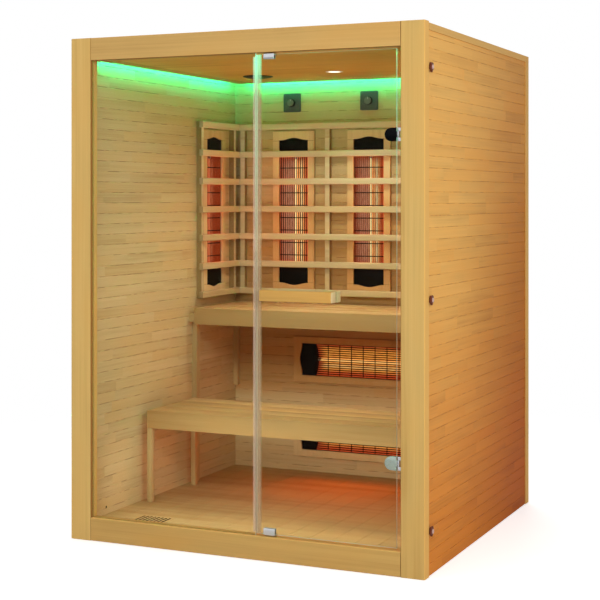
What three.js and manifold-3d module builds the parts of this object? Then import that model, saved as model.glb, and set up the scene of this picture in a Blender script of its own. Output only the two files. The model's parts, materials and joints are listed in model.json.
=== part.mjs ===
// An infrared sauna cabin for two: a timber box with a glass front and a glass door,
// two bench tiers, slatted backrests and seven infrared heaters.
// Millimetres, +Z up, the glass front faces -Y, the origin is below the middle of the cabin.
import * as THREE from "three";
import { mergeVertices } from "three/addons/utils/BufferGeometryUtils.js";
import Module from "manifold-3d";

const wasm = await Module();
wasm.setup();

// Overall size of the timber box
const CABIN_WIDTH = 1450;
const CABIN_DEPTH = 1365;
const CABIN_HEIGHT = 1940;

// Play between pieces set against each other, welding of equal corners, steps of round forms
const FIT = 0.3;
const WELD_DISTANCE = 1e-4;
const ROUND_SIDES = 20;

// Front frame: stiles at the sides, rails between them
const FRAME_DEPTH = 48;
const STILE_WIDTH = 90;
const RAIL_HEIGHT = 88;
const FRAME_ROUND = 4;
const FRAME_ROUND_STEPS = 3;

// Walls, roof and floor
const SIDE_WALL = 40;
const SIDE_INSET = 4;
const BACK_WALL = 45;
const ROOF_THICKNESS = 25;
const ROOF_DROP = 5;
const FLOOR_HEIGHT = 60;
const BOARD_PITCH = 42;
const FLOOR_BOARD_PITCH = 90;
const GROOVE_WIDTH = 2.6;
const GROOVE_DEPTH = 1.2;

// Floor vent, placed from the left wall and from the front frame
const VENT_WIDTH = 152;
const VENT_LENGTH = 100;
const VENT_THICKNESS = 8;
const VENT_LEDGE = 10;
const VENT_SLOTS = 8;
const VENT_SLOT_WIDTH = 8;
const VENT_FROM_LEFT = 138;
const VENT_FROM_FRONT = 85;

// Ceiling with a light cove along three walls
const CEILING_DROP = 54;
const CEILING_THICKNESS = 14;
const COVE_GAP = 45;
const HANGER_WIDTH = 30;
const HANGER_END = 60;
const HANGER_SPREAD = 420;
const LED_WIDTH = 12;
const LED_HEIGHT = 10;
const LED_SETBACK = 6;

// Speaker and lamp in the ceiling, control unit above it
const SPEAKER_RADIUS = 66;
const SPEAKER_CAN_RADIUS = 50;
const SPEAKER_CAN_HEIGHT = 34;
const SPEAKER_DOME = 6;
const SPEAKER_DOME_SHOULDER = 4.5;
const SPEAKER_RIM = 4;
const SPEAKER_AT = [-373, 250];
const LAMP_RADIUS = 37.5;
const LAMP_CAN_RADIUS = 30;
const LAMP_CAN_HEIGHT = 28;
const LAMP_RIM = 3;
const LAMP_EDGE = 1;
const LAMP_LENS_RADIUS = 27;
const LAMP_LENS_SET = 2;
const LAMP_AT = [25, 170];
const CONTROL_WIDTH = 240;
const CONTROL_LENGTH = 150;
const CONTROL_HEIGHT = 30;
const CONTROL_ROUND = 8;
const CONTROL_AT = [330, -120];

// Glass front
const GLASS_THICKNESS = 8;
const GLASS_INSET = 13;
const GLASS_BITE = 8;
const FIXED_PANE_WIDTH = 701;
const DOOR_GAP = 5;
const DOOR_TOP_GAP = 6;
const DOOR_BOTTOM_GAP = 8;

// Door hinges
const HINGE_INSET = 13;
const HINGE_TO_GLASS = 6;
const HINGE_HEIGHT = 48;
const HINGE_HEIGHTS = { upper: 0.7964 * CABIN_HEIGHT, lower: 0.2026 * CABIN_HEIGHT };
const CLAMP_WIDTH = 44;
const CLAMP_PLATE = 4;
const CLAMP_CLEARANCE = 0.7;
const CLAMP_WEB = 2.7;
const KNUCKLE_RADIUS = 4.5;
const KNUCKLE_LENGTH = 22;
const KNUCKLE_SIDES = 12;
const PIN_RADIUS = 2.2;
const BRACKET_PLATE = 2;
const BRACKET_ARM = 7;
const BRACKET_WIDTH = 22;
const BRACKET_SHIFT = 3;

// Seal on the door's free edge
const SEAL_WIDTH = 16;
const SEAL_WALL = 1.5;
const SEAL_LIP = 1.5;

// Catch clips on the door's free corners and the strikes that they close on
const CLIP_WALL = 3;
const CLIP_FROM_EDGE = 29;
const TOP_CLIP = { width: 43, height: 20 };
const BOTTOM_CLIP = { width: 46, height: 25 };
const STRIKE_DEPTH = 8;
const STRIKE_HEIGHT = 12;

// Door handle: one bar outside, one inside
const HANDLE_LENGTH = 288;
const HANDLE_HEIGHT = 40;
const HANDLE_BAR = 20;
const HANDLE_GRIP = 20;
const HANDLE_FOOT = 45;
const HANDLE_ROUND = 7;
const HANDLE_FROM_EDGE = 27;
const HANDLE_AT = 0.499 * CABIN_HEIGHT;

// Benches, at shares of the cabin's height
const BENCH_TOP = 28;
const BENCH_BOARDS = 4;
const FASCIA_HEIGHT = 73;
const FASCIA_THICKNESS = 18;
const BENCH_END_GAP = 36.5;
const LOWER_BENCH_HEIGHT = 0.2273 * CABIN_HEIGHT;
const LOWER_BENCH_DEPTH = 402;
const LOWER_BENCH_GAP = 6;
const UPPER_BENCH_HEIGHT = 0.4314 * CABIN_HEIGHT;
const UPPER_BENCH_DEPTH = 473;
const LEG_WIDTH = 22;
const LEG_DEPTH = 26;
const BENCH_RAIL_HEIGHT = 36;
const BENCH_RAIL_WIDTH = 58;
const BENCH_POST_SETBACK = 50;

// Heater units, with their centres at shares of the cabin's height
const HEATER_WIDTH = 148;
const HEATER_LENGTH = 684;
const HEATER_ARCH = 11;
const HEATER_ARCH_SPREAD = 64;
const HEATER_ARCH_STEPS = 8;
const HEATER_PLAY = 0.5;
const HEATER_POCKET = 30;
const SURROUND_WIDTH = 30;
const SURROUND_PROUD = 14;
const SURROUND_ROOT = 4;
const CAP_LENGTH = 82;
const CAP_PROUD = 8;
const TRAY_DEPTH = 28;
const TRAY_RIM = 6;
const TRAY_RIM_WALL = 3;
const TRAY_SHEET = 4;
const TRAY_FLOOR = 60;
const CROSS_WIRE = 3;
const LONG_WIRE = 1.6;
const GUARD_ROWS = 10;
const GUARD_COLUMNS = 8;
const TUBE_RADIUS = 6;
const TUBE_SET = 16;
const TUBE_SOCKET = 12;
const TUBE_SIDES = 12;
const WALL_HEATER_CENTRE = 0.6491 * CABIN_HEIGHT;
const BACK_HEATER_PITCH = 374;
const SIDE_HEATER_FROM_BACK = 235;
const LOW_HEATER_CENTRES = { upper: 0.2974 * CABIN_HEIGHT, lower: 0.1206 * CABIN_HEIGHT };

// Slatted backrests
const SLAT_HEIGHT = 28.5;
const SLAT_THICKNESS = 18;
const SLAT_CHAMFER = 3;
const SLAT_COUNT = 7;
const BACKREST_BOTTOM = 0.4506 * CABIN_HEIGHT;
const BACKREST_HEIGHT = 0.4084 * CABIN_HEIGHT;
const BATTEN_WIDTH = 22;
const BATTEN_DEPTH = 25;
const BATTEN_OVERLAP = 0.5;
const SIDE_BACKREST_LENGTH = 359;
const SIDE_BATTEN_SET = 30;
const BATTEN_FROM_WALL = 50;
const INNER_BATTEN_AT = 198;

// Dimmers on the back wall
const DIMMER_SIZE = 86;
const DIMMER_PITCH = 384;
const DIMMER_THICKNESS = 9;
const DIMMER_ROUND = 6;
const DIMMER_BELOW_TOP = 177;
const DIMMER_AT = CABIN_HEIGHT - DIMMER_BELOW_TOP;
const DIMMER_KNOB_RADIUS = 19;
const DIMMER_KNOB_TIP_RADIUS = 16.5;
const DIMMER_KNOB_HEIGHT = 15;
const DIMMER_KNOB_SKIRT = 5;
const DIMMER_POINTER_WIDTH = 3;
const DIMMER_SHAFT_RADIUS = 4;
const DIMMER_SHAFT_DEPTH = 6;

// Star knobs that draw the front frame to the side walls
const STAR_RADIUS = 19;
const STAR_WAVE = 3;
const STAR_LOBES = 5;
const STAR_STEPS = 4;
const STAR_THICKNESS = 8;
const STAR_CAP_RADIUS = 8;
const STAR_CAP_HEIGHT = 3;
const STAR_HUB_RADIUS = 8;
const STAR_CLEARANCE = 1;
const STAR_FROM_FRAME = 10;
const STAR_BELOW_TOP = 159;
const STAR_BELOW_MIDDLE = 4;
const STAR_ABOVE_FLOOR = 158;
const STAR_HEIGHTS = {
  top: CABIN_HEIGHT - STAR_BELOW_TOP,
  middle: CABIN_HEIGHT / 2 - STAR_BELOW_MIDDLE,
  bottom: STAR_ABOVE_FLOOR,
};

// Faces and levels that the pieces share
const front = -CABIN_DEPTH / 2;
const back = CABIN_DEPTH / 2;
const half = CABIN_WIDTH / 2;
const frameBack = front + FRAME_DEPTH;
const stileInner = half - STILE_WIDTH;
const sideOuter = half - SIDE_INSET;
const sideInner = sideOuter - SIDE_WALL;
const backFace = back - BACK_WALL;
const roofTop = CABIN_HEIGHT - ROOF_DROP;
const roofUnder = roofTop - ROOF_THICKNESS;
const ceilingUnder = roofUnder - CEILING_DROP;
const ceilingTop = ceilingUnder + CEILING_THICKNESS;
const topRailUnder = CABIN_HEIGHT - RAIL_HEIGHT;
const glassMiddle = front + GLASS_INSET + GLASS_THICKNESS / 2;
const hingeX = stileInner - HINGE_INSET;
const fixedPaneEdge = -stileInner + FIXED_PANE_WIDTH;
const doorEdge = fixedPaneEdge + DOOR_GAP - hingeX;
const doorTop = topRailUnder - DOOR_TOP_GAP;
const doorBottom = RAIL_HEIGHT + DOOR_BOTTOM_GAP;
const benchEnd = sideInner - BENCH_END_GAP;
const upperBenchFront = backFace - UPPER_BENCH_DEPTH;
const lowerBenchBack = upperBenchFront - LOWER_BENCH_GAP;
const lowerBenchFront = lowerBenchBack - LOWER_BENCH_DEPTH;
const handleDepth = HANDLE_BAR + HANDLE_GRIP;
const handleProud = handleDepth + FIT - GLASS_INSET;

// Geometry in, geometry out: joining and cutting of closed forms
function solidOf(geometry) {
  const loose = geometry.index ? geometry.toNonIndexed() : geometry;
  const bare = new THREE.BufferGeometry();
  bare.setAttribute("position", loose.getAttribute("position").clone());
  const merged = mergeVertices(bare, WELD_DISTANCE);
  const vertProperties = new Float32Array(merged.getAttribute("position").array);
  const triVerts = new Uint32Array(merged.index.array);
  return new wasm.Manifold(new wasm.Mesh({ numProp: 3, vertProperties, triVerts }));
}

function geometryOf(solid) {
  const { vertProperties, triVerts } = solid.getMesh();
  const geometry = new THREE.BufferGeometry();
  geometry.setAttribute("position", new THREE.BufferAttribute(vertProperties, 3));
  geometry.setIndex(new THREE.BufferAttribute(triVerts, 1));
  geometry.computeVertexNormals();
  return geometry;
}

function join(...pieces) {
  return geometryOf(pieces.map(solidOf).reduce((whole, piece) => whole.add(piece)));
}

function cut(piece, ...tools) {
  return geometryOf(tools.map(solidOf).reduce((rest, tool) => rest.subtract(tool), solidOf(piece)));
}

// A box between two values on each axis
function block([x0, x1], [y0, y1], [z0, z1]) {
  const box = new THREE.BoxGeometry(x1 - x0, y1 - y0, z1 - z0);
  return box.translate((x0 + x1) / 2, (y0 + y1) / 2, (z0 + z1) / 2);
}

// An outline pushed along an axis: (y, z) along x, (x, z) along y, (x, y) along z
function prism(axis, outline, [from, to]) {
  const shape = new THREE.Shape(outline.map(([a, b]) => new THREE.Vector2(a, b)));
  const geometry = new THREE.ExtrudeGeometry(shape, { depth: to - from, bevelEnabled: false });
  if (axis === "y") {
    return geometry.rotateX(Math.PI / 2).translate(0, to, 0);
  }
  geometry.translate(0, 0, from);
  if (axis === "x") {
    geometry.rotateX(Math.PI / 2).rotateZ(Math.PI / 2);
  }
  return geometry;
}

// A profile of (radius, height) turned about z
function turned(profile, sides) {
  const points = profile.map(([radius, height]) => new THREE.Vector2(radius, height));
  return new THREE.LatheGeometry(points, sides).rotateX(Math.PI / 2);
}

function mirrored(outline) {
  return outline.map(([a, b]) => [-a, b]);
}

function arc([cx, cy], radius, from, to, steps) {
  return Array.from({ length: steps + 1 }, (_, i) => {
    const angle = from + ((to - from) * i) / steps;
    return [cx + radius * Math.cos(angle), cy + radius * Math.sin(angle)];
  });
}

function disc(centre, radius, sides) {
  return arc(centre, radius, 0, 2 * Math.PI, sides).slice(0, sides);
}

function rectangle([a0, a1], [b0, b1]) {
  return [
    [a0, b0],
    [a1, b0],
    [a1, b1],
    [a0, b1],
  ];
}

function roundedRectangle([a0, a1], [b0, b1], radius, steps) {
  const quarter = Math.PI / 2;
  return [
    ...arc([a0 + radius, b0 + radius], radius, 2 * quarter, 3 * quarter, steps),
    ...arc([a1 - radius, b0 + radius], radius, 3 * quarter, 4 * quarter, steps),
    ...arc([a1 - radius, b1 - radius], radius, 0, quarter, steps),
    ...arc([a0 + radius, b1 - radius], radius, quarter, 2 * quarter, steps),
  ];
}

// V-grooves along one straight side of an outline, from low to high
function grooved(face, inward, places) {
  return places.flatMap((place) => [
    [face, place - GROOVE_WIDTH / 2],
    [face + inward * GROOVE_DEPTH, place],
    [face, place + GROOVE_WIDTH / 2],
  ]);
}

function groovePlaces(length, pitch) {
  const count = Math.floor((length - GROOVE_WIDTH) / pitch);
  return Array.from({ length: count }, (_, i) => (i + 1) * pitch);
}

// Cross-section of a wall of tongue-and-groove boards, thickness against height.
// The room side is boarded, and so is the other side unless it is a plain sheet.
function boardedSection([inner, outer], [bottom, top], outerPlain = false) {
  const places = groovePlaces(top - bottom, BOARD_PITCH).map((place) => bottom + place);
  return [
    [inner, bottom],
    [outer, bottom],
    ...grooved(outer, -1, outerPlain ? [] : places),
    [outer, top],
    [inner, top],
    ...grooved(inner, 1, places).reverse(),
  ];
}

// The scene graph. The cabin is set back so that the handle and the box are centred together.
const part = new THREE.Group();
const cabin = new THREE.Group();
cabin.position.y = handleProud / 2;
part.add(cabin);

const door = new THREE.Group();
door.position.set(hingeX, glassMiddle, 0);
cabin.add(door);

const FINISHES = {
  frameWood: { color: 0xc8a05c, roughness: 0.55, metalness: 0 },
  wallWood: { color: 0xc59a5e, roughness: 0.6, metalness: 0 },
  benchWood: { color: 0xc9aa72, roughness: 0.6, metalness: 0 },
  glass: { color: 0xe6f2ee, roughness: 0.05, metalness: 0, transparent: true, opacity: 0.25 },
  seal: { color: 0xd8dedd, roughness: 0.3, metalness: 0, transparent: true, opacity: 0.6 },
  chrome: { color: 0xc9ccd0, roughness: 0.12, metalness: 1 },
  blackSteel: { color: 0x17181a, roughness: 0.5, metalness: 0.6 },
  quartz: { color: 0xff6a20, roughness: 0.2, metalness: 0 },
  greyPlastic: { color: 0x4b4e50, roughness: 0.45, metalness: 0 },
  brownPlastic: { color: 0x3a2418, roughness: 0.5, metalness: 0 },
  blackPlastic: { color: 0x161616, roughness: 0.55, metalness: 0 },
  whitePlastic: { color: 0xf2f2ee, roughness: 0.35, metalness: 0 },
  greenLight: { color: 0x35e070, roughness: 0.4, metalness: 0 },
};

function addPiece(group, name, geometry, finish) {
  const piece = new THREE.Mesh(geometry, new THREE.MeshStandardMaterial(FINISHES[finish]));
  piece.name = name;
  group.add(piece);
}

function groupAt(x, y, z) {
  const group = new THREE.Group();
  group.position.set(x, y, z);
  cabin.add(group);
  return group;
}

// Heater places: each frame has x across the unit, z along it and -y towards the room
const quarterTurn = Math.PI / 2;

function frameAt(position, { z = 0, y = 0 } = {}) {
  const turn = new THREE.Euler(0, y, z);
  return new THREE.Matrix4().makeRotationFromEuler(turn).setPosition(...position);
}

const backHeaters = {
  back_left: frameAt([-BACK_HEATER_PITCH, backFace, WALL_HEATER_CENTRE]),
  back_middle: frameAt([0, backFace, WALL_HEATER_CENTRE]),
  back_right: frameAt([BACK_HEATER_PITCH, backFace, WALL_HEATER_CENTRE]),
};
const sideHeaterY = backFace - SIDE_HEATER_FROM_BACK;
const leftHeaters = {
  left: frameAt([-sideInner, sideHeaterY, WALL_HEATER_CENTRE], { z: quarterTurn }),
};
const rightHeaters = {
  right: frameAt([sideInner, sideHeaterY, WALL_HEATER_CENTRE], { z: -quarterTurn }),
};
const lowHeaterAt = (height) => frameAt([0, backFace, height], { y: quarterTurn });
const lowHeaters = {
  bench_upper: lowHeaterAt(LOW_HEATER_CENTRES.upper),
  bench_lower: lowHeaterAt(LOW_HEATER_CENTRES.lower),
};

// Outline of a slot, width against length: each end has flat shoulders and an arch between them
function archedOutline(width, length, rise) {
  const shoulder = length / 2 - rise;
  const arch = Array.from({ length: HEATER_ARCH_STEPS + 1 }, (_, i) => {
    const share = 1 - (2 * i) / HEATER_ARCH_STEPS;
    return [share * HEATER_ARCH_SPREAD, shoulder + (rise * (1 + Math.cos(Math.PI * share))) / 2];
  });
  const top = [[width / 2, shoulder], ...arch, [-width / 2, shoulder]];
  return [...top, ...top.map(([x, z]) => [-x, -z])];
}

// A boarded panel with a raised timber surround and a pocket for each heater
function withHeaterPockets(panel, heaters) {
  const reach = [-SURROUND_PROUD, SURROUND_ROOT];
  const wide = HEATER_WIDTH / 2 + SURROUND_WIDTH;
  const tall = HEATER_LENGTH / 2 + SURROUND_WIDTH;
  const opening = archedOutline(HEATER_WIDTH, HEATER_LENGTH, HEATER_ARCH);
  const frames = Object.values(heaters);
  const surrounds = frames.map((frame) =>
    prism("y", rectangle([-wide, wide], [-tall, tall]), reach).applyMatrix4(frame),
  );
  const pockets = frames.map((frame) =>
    prism("y", opening, [-2 * SURROUND_PROUD, HEATER_POCKET]).applyMatrix4(frame),
  );
  return cut(join(panel, ...surrounds), ...pockets);
}

// Walls, roof and floor
function addShell() {
  const sideSpan = [frameBack + FIT, backFace - FIT];
  const height = [0, roofUnder - FIT];
  const rightSection = boardedSection([sideInner, sideOuter], height);
  const rightWall = prism("y", rightSection, sideSpan);
  const leftWall = prism("y", mirrored(rightSection), sideSpan);
  const backSection = boardedSection([backFace, back], height, true);
  const backWall = prism("x", backSection, [-half, half]);
  addPiece(cabin, "left_wall", withHeaterPockets(leftWall, leftHeaters), "wallWood");
  addPiece(cabin, "right_wall", withHeaterPockets(rightWall, rightHeaters), "wallWood");
  const allBackHeaters = { ...backHeaters, ...lowHeaters };
  addPiece(cabin, "back_wall", withHeaterPockets(backWall, allBackHeaters), "wallWood");

  const roof = block([-half, half], [frameBack + FIT, back], [roofUnder, roofTop]);
  addPiece(cabin, "roof_panel", roof, "frameWood");
}

function addFloor() {
  const reach = sideInner - FIT;
  const span = [frameBack + FIT, backFace - FIT];
  const grooves = groovePlaces(2 * reach, FLOOR_BOARD_PITCH).map((place) => place - reach);
  const top = grooved(FLOOR_HEIGHT, -1, grooves).map(([z, x]) => [x, z]);
  const section = [[reach, 0], [-reach, 0], [-reach, FLOOR_HEIGHT], ...top, [reach, FLOOR_HEIGHT]];
  const x0 = -sideInner + VENT_FROM_LEFT;
  const y0 = frameBack + VENT_FROM_FRONT;
  const seat = [FLOOR_HEIGHT - VENT_THICKNESS - FIT, 2 * FLOOR_HEIGHT];
  const pocket = block([x0 - FIT, x0 + VENT_WIDTH + FIT], [y0 - FIT, y0 + VENT_LENGTH + FIT], seat);
  const ductX = [x0 + VENT_LEDGE, x0 + VENT_WIDTH - VENT_LEDGE];
  const ductY = [y0 + VENT_LEDGE, y0 + VENT_LENGTH - VENT_LEDGE];
  const duct = block(ductX, ductY, [-FLOOR_HEIGHT, FLOOR_HEIGHT]);
  addPiece(cabin, "floor_panel", cut(prism("y", section, span), pocket, duct), "benchWood");

  const pitch = (VENT_WIDTH - 2 * VENT_LEDGE) / VENT_SLOTS;
  const slots = Array.from({ length: VENT_SLOTS }, (_, i) => {
    const x = ductX[0] + (i + 0.5) * pitch;
    return block([x - VENT_SLOT_WIDTH / 2, x + VENT_SLOT_WIDTH / 2], ductY, [0, 2 * FLOOR_HEIGHT]);
  });
  const level = [FLOOR_HEIGHT - VENT_THICKNESS, FLOOR_HEIGHT];
  const plate = block([x0, x0 + VENT_WIDTH], [y0, y0 + VENT_LENGTH], level);
  addPiece(cabin, "floor_vent_grille", cut(plate, ...slots), "benchWood");
}

// Ceiling with the cove light, the speaker, the lamp and the control unit
function addCeiling() {
  const reach = sideInner - COVE_GAP;
  const rear = backFace - COVE_GAP;
  const slab = block([-reach, reach], [frameBack + FIT, rear], [ceilingUnder, ceilingTop]);
  const hangers = [-HANGER_SPREAD, HANGER_SPREAD].map((y) =>
    block(
      [HANGER_END - reach, reach - HANGER_END],
      [y - HANGER_WIDTH / 2, y + HANGER_WIDTH / 2],
      [ceilingTop - FIT, roofUnder - FIT],
    ),
  );
  const bore = [ceilingUnder - CEILING_THICKNESS, roofUnder];
  const speakerHole = prism("z", disc(SPEAKER_AT, SPEAKER_CAN_RADIUS + FIT, ROUND_SIDES), bore);
  const lampHole = prism("z", disc(LAMP_AT, LAMP_CAN_RADIUS + FIT, ROUND_SIDES), bore);
  addPiece(cabin, "ceiling_panel", cut(join(slab, ...hangers), speakerHole, lampHole), "wallWood");

  const outerX = reach - LED_SETBACK;
  const outerY = rear - LED_SETBACK;
  const ledFront = frameBack + COVE_GAP;
  const ledOutline = [
    [-outerX, ledFront],
    [LED_WIDTH - outerX, ledFront],
    [LED_WIDTH - outerX, outerY - LED_WIDTH],
    [outerX - LED_WIDTH, outerY - LED_WIDTH],
    [outerX - LED_WIDTH, ledFront],
    [outerX, ledFront],
    [outerX, outerY],
    [-outerX, outerY],
  ];
  const ledLevel = ceilingTop + FIT;
  const led = prism("z", ledOutline, [ledLevel, ledLevel + LED_HEIGHT]);
  addPiece(cabin, "cove_led_strip", led, "greenLight");
}

function addCeilingFittings() {
  const speaker = [
    [0, -SPEAKER_RIM - SPEAKER_DOME],
    [SPEAKER_RADIUS / 2, -SPEAKER_RIM - SPEAKER_DOME_SHOULDER],
    [SPEAKER_RADIUS - SPEAKER_RIM, -SPEAKER_RIM],
    [SPEAKER_RADIUS, -FIT - SPEAKER_RIM / 2],
    [SPEAKER_RADIUS, -FIT],
    [SPEAKER_CAN_RADIUS, -FIT],
    [SPEAKER_CAN_RADIUS, SPEAKER_CAN_HEIGHT],
    [0, SPEAKER_CAN_HEIGHT],
  ];
  const lamp = [
    [0, LAMP_LENS_SET - LAMP_RIM],
    [LAMP_LENS_RADIUS, LAMP_LENS_SET - LAMP_RIM],
    [LAMP_LENS_RADIUS + LAMP_RIM, -LAMP_RIM],
    [LAMP_RADIUS, -FIT - LAMP_EDGE],
    [LAMP_RADIUS, -FIT],
    [LAMP_CAN_RADIUS, -FIT],
    [LAMP_CAN_RADIUS, LAMP_CAN_HEIGHT],
    [0, LAMP_CAN_HEIGHT],
  ];
  const speakerGroup = groupAt(...SPEAKER_AT, ceilingUnder);
  addPiece(speakerGroup, "ceiling_speaker", turned(speaker, ROUND_SIDES), "blackPlastic");
  const lampGroup = groupAt(...LAMP_AT, ceilingUnder);
  addPiece(lampGroup, "ceiling_lamp", turned(lamp, ROUND_SIDES), "whitePlastic");

  const wide = [-CONTROL_WIDTH / 2, CONTROL_WIDTH / 2];
  const long = [-CONTROL_LENGTH / 2, CONTROL_LENGTH / 2];
  const outline = roundedRectangle(wide, long, CONTROL_ROUND, FRAME_ROUND_STEPS);
  const unit = prism("z", outline, [FIT, FIT + CONTROL_HEIGHT]);
  addPiece(groupAt(...CONTROL_AT, ceilingTop), "control_unit", unit, "blackPlastic");
}

// Front frame: the left stile and both rails are grooved for the fixed pane
function addFrontFrame() {
  const depth = [front, frameBack];
  const stileOutline = roundedRectangle([stileInner, half], depth, FRAME_ROUND, FRAME_ROUND_STEPS);
  const full = [0, CABIN_HEIGHT];
  const grooveY = [
    glassMiddle - GLASS_THICKNESS / 2 - FIT,
    glassMiddle + GLASS_THICKNESS / 2 + FIT,
  ];
  const bite = GLASS_BITE + FIT;
  const leftGroove = block(
    [-stileInner - bite, -stileInner + FIT],
    grooveY,
    [RAIL_HEIGHT - bite, topRailUnder + bite],
  );
  const leftStile = prism("z", mirrored(stileOutline), full);
  addPiece(cabin, "front_right_stile", prism("z", stileOutline, full), "frameWood");
  addPiece(cabin, "front_left_stile", cut(leftStile, leftGroove), "frameWood");

  const span = [FIT - stileInner, stileInner - FIT];
  const grooveX = [-stileInner, fixedPaneEdge + FIT];
  const topLevel = [topRailUnder, CABIN_HEIGHT];
  const topOutline = roundedRectangle(depth, topLevel, FRAME_ROUND, FRAME_ROUND_STEPS);
  const topRail = prism("x", topOutline, span);
  const topGroove = block(grooveX, grooveY, [topRailUnder - FIT, topRailUnder + bite]);
  const topStrikeLevel = [topRailUnder - STRIKE_HEIGHT, topRailUnder + FRAME_ROUND];
  const topStrike = strikeBlock(TOP_CLIP, topStrikeLevel);
  addPiece(cabin, "front_top_rail", cut(join(topRail, topStrike), topGroove), "frameWood");

  const bottomLevel = [0, RAIL_HEIGHT];
  const bottomOutline = roundedRectangle(depth, bottomLevel, FRAME_ROUND, FRAME_ROUND_STEPS);
  const bottomRail = prism("x", bottomOutline, span);
  const bottomGroove = block(grooveX, grooveY, [RAIL_HEIGHT - bite, RAIL_HEIGHT + FIT]);
  const bottomStrikeLevel = [RAIL_HEIGHT - FRAME_ROUND, RAIL_HEIGHT + STRIKE_HEIGHT];
  const bottomStrike = strikeBlock(BOTTOM_CLIP, bottomStrikeLevel);
  addPiece(cabin, "front_bottom_rail", cut(join(bottomRail, bottomStrike), bottomGroove), "frameWood");

  const paneX = [-stileInner - GLASS_BITE, fixedPaneEdge];
  const paneY = [glassMiddle - GLASS_THICKNESS / 2, glassMiddle + GLASS_THICKNESS / 2];
  const pane = block(paneX, paneY, [RAIL_HEIGHT - GLASS_BITE, topRailUnder + GLASS_BITE]);
  addPiece(cabin, "fixed_glass", pane, "glass");
}

// The magnet block that a closed catch clip lies against
function strikeBlock(clip, height) {
  const x0 = hingeX + doorEdge + CLIP_FROM_EDGE;
  const y0 = glassMiddle + GLASS_THICKNESS / 2 + CLIP_WALL + 2 * FIT;
  return block([x0, x0 + clip.width], [y0, y0 + STRIKE_DEPTH], height);
}

// The door: glass, seal, handles and catch clips, in a frame on the hinge axis
function addDoor() {
  const faces = [-GLASS_THICKNESS / 2, GLASS_THICKNESS / 2];
  const glass = block([doorEdge, -HINGE_TO_GLASS], faces, [doorBottom, doorTop]);
  addPiece(door, "door_glass", glass, "glass");

  const wall = faces[1] + FIT + SEAL_WALL;
  const lipEnd = doorEdge - FIT - SEAL_WALL - SEAL_LIP;
  const seal = [
    [doorEdge + SEAL_WIDTH, -wall],
    [doorEdge + SEAL_WIDTH, faces[0] - FIT],
    [doorEdge - FIT, faces[0] - FIT],
    [doorEdge - FIT, faces[1] + FIT],
    [doorEdge + SEAL_WIDTH, faces[1] + FIT],
    [doorEdge + SEAL_WIDTH, wall],
    [doorEdge - FIT - SEAL_WALL, wall],
    [doorEdge - FIT - SEAL_WALL, SEAL_WALL / 2],
    [lipEnd, SEAL_WALL / 2],
    [lipEnd, -SEAL_WALL / 2],
    [doorEdge - FIT - SEAL_WALL, -SEAL_WALL / 2],
    [doorEdge - FIT - SEAL_WALL, -wall],
  ];
  addPiece(door, "door_edge_seal", prism("z", seal, [doorBottom, doorTop]), "seal");

  addClip("top_catch_clip", TOP_CLIP, doorTop, -1);
  addClip("bottom_catch_clip", BOTTOM_CLIP, doorBottom, 1);
  addHandle("door_outer_handle", -1);
  addHandle("door_inner_handle", 1);
}

// A folded clip over the glass edge at the given level, reaching up or down the glass
function addClip(name, clip, level, reach) {
  const x0 = doorEdge + CLIP_FROM_EDGE;
  const inside = GLASS_THICKNESS / 2 + FIT;
  const outside = inside + CLIP_WALL;
  const section = [
    [-outside, level - reach * (FIT + CLIP_WALL)],
    [outside, level - reach * (FIT + CLIP_WALL)],
    [outside, level + reach * (clip.height - CLIP_WALL)],
    [inside, level + reach * (clip.height - CLIP_WALL)],
    [inside, level - reach * FIT],
    [-inside, level - reach * FIT],
    [-inside, level + reach * (clip.height - CLIP_WALL)],
    [-outside, level + reach * (clip.height - CLIP_WALL)],
  ];
  addPiece(door, name, prism("x", section, [x0, x0 + clip.width]), "chrome");
}

// A bar on two feet, on the outer or the inner side of the glass
function addHandle(name, side) {
  const x0 = doorEdge + HANDLE_FROM_EDGE;
  const x1 = x0 + HANDLE_LENGTH;
  const foot = GLASS_THICKNESS / 2 + FIT;
  const tip = foot + handleDepth;
  const farCorner = [x1 - HANDLE_ROUND, tip - HANDLE_ROUND];
  const nearCorner = [x0 + HANDLE_ROUND, tip - HANDLE_ROUND];
  const outline = [
    [x0, foot],
    [x0 + HANDLE_FOOT, foot],
    [x0 + HANDLE_FOOT, foot + HANDLE_GRIP],
    [x1 - HANDLE_FOOT, foot + HANDLE_GRIP],
    [x1 - HANDLE_FOOT, foot],
    [x1, foot],
    ...arc(farCorner, HANDLE_ROUND, 0, quarterTurn, FRAME_ROUND_STEPS),
    ...arc(nearCorner, HANDLE_ROUND, quarterTurn, 2 * quarterTurn, FRAME_ROUND_STEPS),
  ];
  const placed = outline.map(([x, y]) => [x, side * y]);
  const height = [HANDLE_AT - HANDLE_HEIGHT / 2, HANDLE_AT + HANDLE_HEIGHT / 2];
  addPiece(door, name, prism("z", placed, height), "frameWood");
}

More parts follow.
